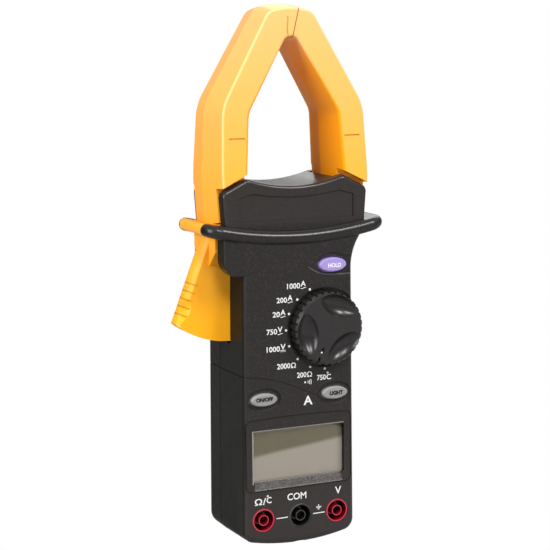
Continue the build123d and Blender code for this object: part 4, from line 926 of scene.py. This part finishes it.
class Lettering:
    """White figures, dots and lines printed on the front panel and on the keys."""

    DIAL_X = 12.34 * MM
    DIAL_Z = 85.4 * MM
    DOT_RING = 18.97 * MM
    DOT_RADIUS = 0.55 * MM
    FIRST_ANGLE = 112.5
    STEP_ANGLE = 22.5
    FIGURE_TALL = 2.45 * MM
    UNIT_TALL = 2.45 * MM
    UNIT_LIFT = 0.8 * MM
    GAP = 0.3 * MM
    SIGN_LINE = 0.28 * MM
    RING_RADIUS = 0.36 * MM
    WAVE_RISE = 0.22 * MM
    LINK_HALF = 0.22 * MM
    LINKS = ((-12.0 * MM, -6.4 * MM), (6.2 * MM, 12.0 * MM))
    HEAT_RING = (-16.2 * MM, 11.0 * MM)
    EARTH = (9.0 * MM, 2.8 * MM)
    EARTH_STEM = 1.1 * MM
    EARTH_STEP = 0.5 * MM
    EARTH_REACHES = (1.35 * MM, 0.85 * MM, 0.4 * MM)
    SOUND = (2.55 * MM, 61.1 * MM)
    SOUND_DOT = 0.42 * MM
    SOUND_ARCS = (1.5 * MM, 2.25 * MM, 3.0 * MM)
    SOUND_SWING = 24
    STOPS = (
        Stop("1000", "A", Mark.WAVE, -6.05, 0.6, 3.1, 103.75),
        Stop("200", "A", Mark.WAVE, -11.1, -5.8, -3.4, 97.8),
        Stop("20", "A", Mark.WAVE, -13.1, -9.3, -6.9, 91.6),
        Stop("750", "V", Mark.WAVE, -16.05, -10.7, -8.4, 84.0),
        Stop("1000", "V", Mark.STEADY, -16.1, -9.4, -6.95, 76.15),
        Stop("2000", "Ω", Mark.NONE, -11.15, -4.4, -1.95, 68.15),
        Stop("200", "Ω", Mark.NONE, -1.45, 3.5, 5.95, 63.4),
        Stop("750", "C", Mark.RING, 8.45, 13.1, 15.35, 61.35),
    )
    PRINTS = (
        ("socket_ohm_text", "Ω", (-22.5, 7.3, 3.6, 2.95)),
        ("socket_slash_text", "/", (-18.6, 7.1, 1.6, 3.2)),
        ("socket_heat_text", "C", (-16.75, 7.6, 2.4, 2.9)),
        ("socket_com_text", "COM", (-6.55, 7.65, 9.4, 3.15)),
        ("socket_volt_text", "V", (17.3, 7.75, 3.1, 3.4)),
        ("current_text", "A", (1.75, 50.7, 4.4, 4.1)),
    )
    KEY_PRINTS = (
        ("power", "ON/OFF", (-21.75, 54.35, 8.2, 1.95), "black", 0.065, "knob_plastic"),
        ("light", "LIGHT", (14.3, 54.05, 6.7, 1.95), "black", 0.065, "knob_plastic"),
        ("hold", "HOLD", (13.75, 112.1, 6.4, 1.95), "pale", 0.03, "white_plastic"),
    )

    def __init__(self) -> None:
        """Make the three inks."""
        self.white = Ink("ink_white", (0.86, 0.86, 0.84)).make()
        self.key_inks = {
            "black": Ink("ink_black", (0.003, 0.003, 0.003)).make(),
            "pale": Ink("ink_pale", (0.88, 0.86, 0.95)).make(),
        }

    def text(
        self,
        name: str,
        words: str,
        box: tuple[float, float, float, float],
        y: float,
        ink: bpy.types.Material,
        weight: float = 0.016,
    ) -> bpy.types.Object:
        """Set words in a box on a plane that faces the front.

        Args:
            name: the object's name.
            words: what is printed.
            box: left, low, width and height in metres; the height is that of a capital.
            y: place of the printed surface.
            ink: its material.
            weight: how much the strokes are fattened, in em.

        Returns:
            A mesh object at the origin.
        """
        curve = bpy.data.curves.new(name, "FONT")
        curve.body = words
        curve.size = 1.0
        curve.offset = weight
        curve.resolution_u = 3
        shape = bpy.data.objects.new(name + "_curve", curve)
        bpy.context.scene.collection.objects.link(shape)
        flat = bpy.data.meshes.new_from_object(shape)
        bpy.data.objects.remove(shape)
        points = np.empty(len(flat.vertices) * 3)
        flat.vertices.foreach_get("co", points)
        points = points.reshape(-1, 3)
        faces = [list(polygon.vertices) for polygon in flat.polygons]
        bpy.data.meshes.remove(flat)
        start = points[:, :2].min(axis=0)
        share = (points[:, :2] - start) / (points[:, :2].max(axis=0) - start)
        left, low, width, tall = box
        x, z = left + share[:, 0] * width, low + share[:, 1] * tall
        made = keep_mesh(name, np.column_stack([x, np.full(len(x), y - INK_THICK), z]), faces)
        thick = made.modifiers.new("thick", "SOLIDIFY")
        thick.thickness = INK_THICK
        thick.offset = -1
        made.data.materials.append(ink)
        return made

    def label(self, stop: Stop, index: int) -> list[bpy.types.Object]:
        """Figures, unit and sign of one selector position.

        Args:
            stop: what is printed.
            index: its place round the dial.

        Returns:
            The pieces.
        """
        angle = radians(self.FIRST_ANGLE + self.STEP_ANGLE * index)
        dot_x = self.DIAL_X + self.DOT_RING * cos(angle)
        dot_z = self.DIAL_Z + self.DOT_RING * sin(angle)
        left, split, right, low = stop.left * MM, stop.split * MM, stop.right * MM, stop.low * MM
        lift = self.UNIT_LIFT if stop.mark in (Mark.WAVE, Mark.STEADY) else 0.0
        name = f"dial_{index}"
        figures = (left, low, split - left - self.GAP, self.FIGURE_TALL)
        unit = (split, low + lift, right - split, self.UNIT_TALL)
        pieces = [
            self.text(f"{name}_figures", stop.figures, figures, PANEL_Y, self.white),
            self.text(f"{name}_unit", stop.unit, unit, PANEL_Y, self.white),
        ]
        plates = [prism(disc_outline(dot_x, dot_z, self.DOT_RADIUS))]
        plates += [prism(line) for line in self.sign(stop.mark, (split + right) / 2, low, right - split)]
        vertices, faces = joined(plates)
        dot = keep_mesh(f"{name}_dot", vertices, faces)
        dot.data.materials.append(self.white)
        return pieces + [dot]

    def ring(self, x: float, z: float) -> np.ndarray:
        """Outline of a degree ring, cut open at one place."""
        turn = np.linspace(0, 2 * pi, 17)
        path = np.column_stack([x + self.RING_RADIUS * np.cos(turn), z + self.RING_RADIUS * np.sin(turn)])
        return band_outline(path, self.SIGN_LINE)

    def sign(self, mark: Mark, x: float, z: float, wide: float) -> list[np.ndarray]:
        """Outlines of the sign of a unit: a wave, a line over three dashes, or a degree ring.

        Args:
            mark: which sign.
            x: its middle.
            z: its height.
            wide: its width.

        Returns:
            Closed outlines.
        """
        half = wide / 2
        line = self.SIGN_LINE
        if mark is Mark.WAVE:
            across = np.linspace(-half, half, 15)
            path = np.column_stack([x + across, z + self.WAVE_RISE * np.sin(across / half * pi)])
            return [band_outline(path, line)]
        if mark is Mark.STEADY:
            lines = [bar_outline(x - half, z + line, x + half, z + 2 * line)]
            dash = wide / 5
            for place in (0, 2, 4):
                left = x - half + place * dash
                lines.append(bar_outline(left, z - line, left + dash, z))
            return lines
        if mark is Mark.RING:
            return [self.ring(x - half * 0.5, z + self.UNIT_TALL + 2 * self.RING_RADIUS)]
        return []

    def sound_sign(self) -> list[np.ndarray]:
        """Outlines of a dot with three arcs, the sign of the buzzer."""
        x, z = self.SOUND
        swing = np.radians(np.linspace(-self.SOUND_SWING, self.SOUND_SWING, 9))
        lines = [disc_outline(x, z, self.SOUND_DOT)]
        for radius in self.SOUND_ARCS:
            path = np.column_stack([x + radius * np.cos(swing), z + radius * np.sin(swing)])
            lines.append(band_outline(path, self.SIGN_LINE))
        return lines

    def socket_lines(self) -> list[np.ndarray]:
        """Outlines of the lines that join the sockets, of the socket's degree ring and of the earth sign."""
        half = self.LINK_HALF
        lines = [bar_outline(left, -half, right, half) for left, right in self.LINKS]
        lines.append(self.ring(*self.HEAT_RING))
        x, z = self.EARTH
        lines.append(bar_outline(x - half, z, x + half, z + self.EARTH_STEM))
        for row, reach in enumerate(self.EARTH_REACHES):
            level = z - row * self.EARTH_STEP
            lines.append(bar_outline(x - reach, level - half * 0.7, x + reach, level + half * 0.7))
        return lines

    def build(self) -> list[bpy.types.Object]:
        """Print the front panel."""
        pieces: list[bpy.types.Object] = []
        for index, stop in enumerate(self.STOPS):
            pieces += self.label(stop, index)
        plates = [prism(line) for line in self.sound_sign() + self.socket_lines()]
        signs = keep_mesh("panel_signs", *joined(plates))
        signs.data.materials.append(self.white)
        pieces.append(signs)
        for name, words, box in self.PRINTS:
            pieces.append(self.text(name, words, tuple(side * MM for side in box), PANEL_Y, self.white))
        for piece in pieces:
            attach(piece, "root")
        return pieces

    def build_keys(self) -> list[bpy.types.Object]:
        """Print the words on the three keys."""
        pieces = []
        for key, words, box, ink, weight, slot in self.KEY_PRINTS:
            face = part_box(f"{key}_button")[0][1]
            area = tuple(side * MM for side in box)
            piece = self.text(f"{key}_word", words, area, face, self.key_inks[ink], weight)
            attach(piece, f"{key}_key")
            pieces.append(piece)
        return pieces


# ------------------------------------------------------------------ back
@dataclass(frozen=True)
class ScrewCross:
    """Cross of painted shade standing for the recess in the head of one screw: its body and middle in
    millimetres, and its turn in degrees.
    """

    name: str
    body: str
    x: float
    y: float
    z: float
    turn: float
    reach: float = 1.5
    width: float = 0.6

    def outline(self) -> np.ndarray:
        """Plus sign of twelve corners, turned about its middle."""
        arm, half = self.reach, self.width / 2
        quarter = np.array([(arm, -half), (arm, half), (half, half)])
        turns = [radians(self.turn + 90 * step) for step in range(4)]
        spun = [quarter @ np.array([(cos(turn), sin(turn)), (-sin(turn), cos(turn))]) for turn in turns]
        return (np.vstack(spun) + np.array([self.x, self.z])) * MM

    def build(self, ink: bpy.types.Material) -> bpy.types.Object:
        """Lay the cross on the head, facing backwards.

        Args:
            ink: its material.

        Returns:
            The piece.
        """
        piece = keep_mesh(self.name, *prism(self.outline(), self.y * MM))
        piece.data.materials.append(ink)
        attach(piece, self.body)
        return piece


class Back:
    """Crosses of painted shade in the five screw heads of the back."""

    CROSSES = (
        ScrewCross("cross_foot_left", "root", -9.1, -2.6, -1.0, 20.0),
        ScrewCross("cross_foot_right", "root", 9.1, -2.6, -1.0, 65.0),
        ScrewCross("cross_neck_left", "root", -13.0, -5.1, 137.5, 5.0),
        ScrewCross("cross_neck_right", "root", 13.0, -5.1, 137.5, 38.0),
        ScrewCross("cross_cover", "cover", 0.0, -0.25, 61.0, 45.0),
    )

    def build(self) -> list[bpy.types.Object]:
        """Build every cross."""
        # painted shade: a dark cross stands in for the recess of each screw head
        ink = Ink("cross_recess_shade", (0.02, 0.02, 0.02)).make()
        return [cross.build(ink) for cross in self.CROSSES]


# ------------------------------------------------------------------ carried-over parts
class Dressing:
    """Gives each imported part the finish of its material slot."""

    def __init__(self) -> None:
        """Build one material for each slot."""
        self.materials = {slot: finish.make() for slot, finish in finishes().items()}
        self.own = {node: finish.make() for node, finish in node_finishes().items()}

    def build(self) -> int:
        """Dress every node.

        Returns:
            How many nodes were dressed.
        """
        slots = {part["node"]: part["material_slot"] for part in frame["record"]["subparts"]}
        for node, shown in frame["nodes"].items():
            material = self.own.get(node, self.materials[slots[node]])
            shown.data.materials.clear()
            shown.data.materials.append(material)
        return len(frame["nodes"])


# ------------------------------------------------------------------ stage
@dataclass(frozen=True)
class Lamp:
    """One soft lamp: its name, place, target, size and power."""

    name: str
    place: Point
    aim: Point
    size: float
    power: float


class Studio:
    """Pale floor, soft light and the camera."""

    CAMERA_PLACE = (-0.29332, -0.66901, 0.21420)
    CAMERA_RIGHT = (0.912002, -0.410113, -0.007679)
    CAMERA_UP = (0.068026, 0.132759, 0.988811)
    LENS = 103.98
    FLOOR_Z = -0.0136
    FLOOR_REACH = 6.0
    FLOOR_TONE = (0.4, 0.4, 0.4, 1.0)
    WHITE = (1.0, 1.0, 1.0, 1.0)
    SURROUND = 0.22
    LAMPS = (
        Lamp("key", (-0.2, -1.2, 1.3), (0.0, -0.02, 0.1), 0.6, 17.0),
        Lamp("left", (-1.35, -0.25, 0.6), (0.0, -0.02, 0.1), 0.8, 16.5),
        Lamp("right", (0.72, -1.05, 1.25), (0.0, -0.02, 0.1), 0.5, 17.0),
        Lamp("rim", (0.9, 1.2, 1.1), (0.0, -0.02, 0.12), 1.1, 10.0),
    )

    def build(self) -> None:
        """Set the floor, lamps, world and camera."""
        self.floor()
        for lamp in self.LAMPS:
            self.lamp(lamp)
        self.world()
        self.camera()
        bpy.context.scene.view_settings.view_transform = "Standard"

    def floor(self) -> None:
        """Plain floor that shows white to the camera."""
        reach = self.FLOOR_REACH
        points = np.column_stack([bar_outline(-reach, -reach, reach, reach), np.full(4, self.FLOOR_Z)])
        floor = keep_mesh("floor", points, [[0, 1, 2, 3]])
        graph = Graph.material("floor_white")
        matt = graph.node("ShaderNodeBsdfDiffuse", None, {"Color": self.FLOOR_TONE})
        bright = graph.node("ShaderNodeEmission", None, {"Color": self.WHITE, "Strength": 1.0})
        seen = graph.node("ShaderNodeLightPath", out="Is Camera Ray")
        mixed = graph.node("ShaderNodeMixShader", None, {0: seen, 1: matt, 2: bright})
        floor.data.materials.append(graph.close(mixed))

    def lamp(self, lamp: Lamp) -> None:
        """Add one square soft lamp that looks at its target."""
        light = bpy.data.lights.new(lamp.name, "AREA")
        light.size = lamp.size
        light.energy = lamp.power
        made = bpy.data.objects.new(lamp.name, light)
        bpy.context.scene.collection.objects.link(made)
        made.location = lamp.place
        toward = Vector(lamp.aim) - Vector(lamp.place)
        made.rotation_euler = toward.to_track_quat("-Z", "Y").to_euler()

    def world(self) -> None:
        """Even surround, white where it is seen directly or through glass."""
        world = bpy.data.worlds.new("surround")
        bpy.context.scene.world = world
        graph = Graph(world)
        direct = graph.node("ShaderNodeLightPath", out="Is Camera Ray")
        seen = direct.larger(direct.beside("Is Transmission Ray"))
        span = {"Value": seen, "To Min": self.SURROUND, "To Max": 1.0}
        level = graph.node("ShaderNodeMapRange", None, span)
        back = graph.node("ShaderNodeBackground", None, {"Color": self.WHITE, "Strength": level})
        graph.close(back, "ShaderNodeOutputWorld")

    def camera(self) -> None:
        """Place the camera by its right and up directions."""
        lens = bpy.data.cameras.new("camera")
        lens.lens = self.LENS
        lens.sensor_width = 36.0
        lens.clip_start = 0.01
        made = bpy.data.objects.new("camera", lens)
        bpy.context.scene.collection.objects.link(made)
        right, up = Vector(self.CAMERA_RIGHT), Vector(self.CAMERA_UP)
        back = right.cross(up)
        turn = Matrix((right, up, back)).transposed().to_4x4()
        made.matrix_world = Matrix.Translation(self.CAMERA_PLACE) @ turn
        bpy.context.scene.camera = made


def main() -> None:
    """Build everything in order."""
    logging.basicConfig(level=logging.INFO, format="%(name)s %(message)s")
    Studio().build()
    LOG.info("dressed %d packed parts", Dressing().build())
    lettering = Lettering()
    for piece in lettering.build() + lettering.build_keys() + Back().build():
        LOG.info("printed %s", piece.name)


if __name__ == "__main__":
    main()
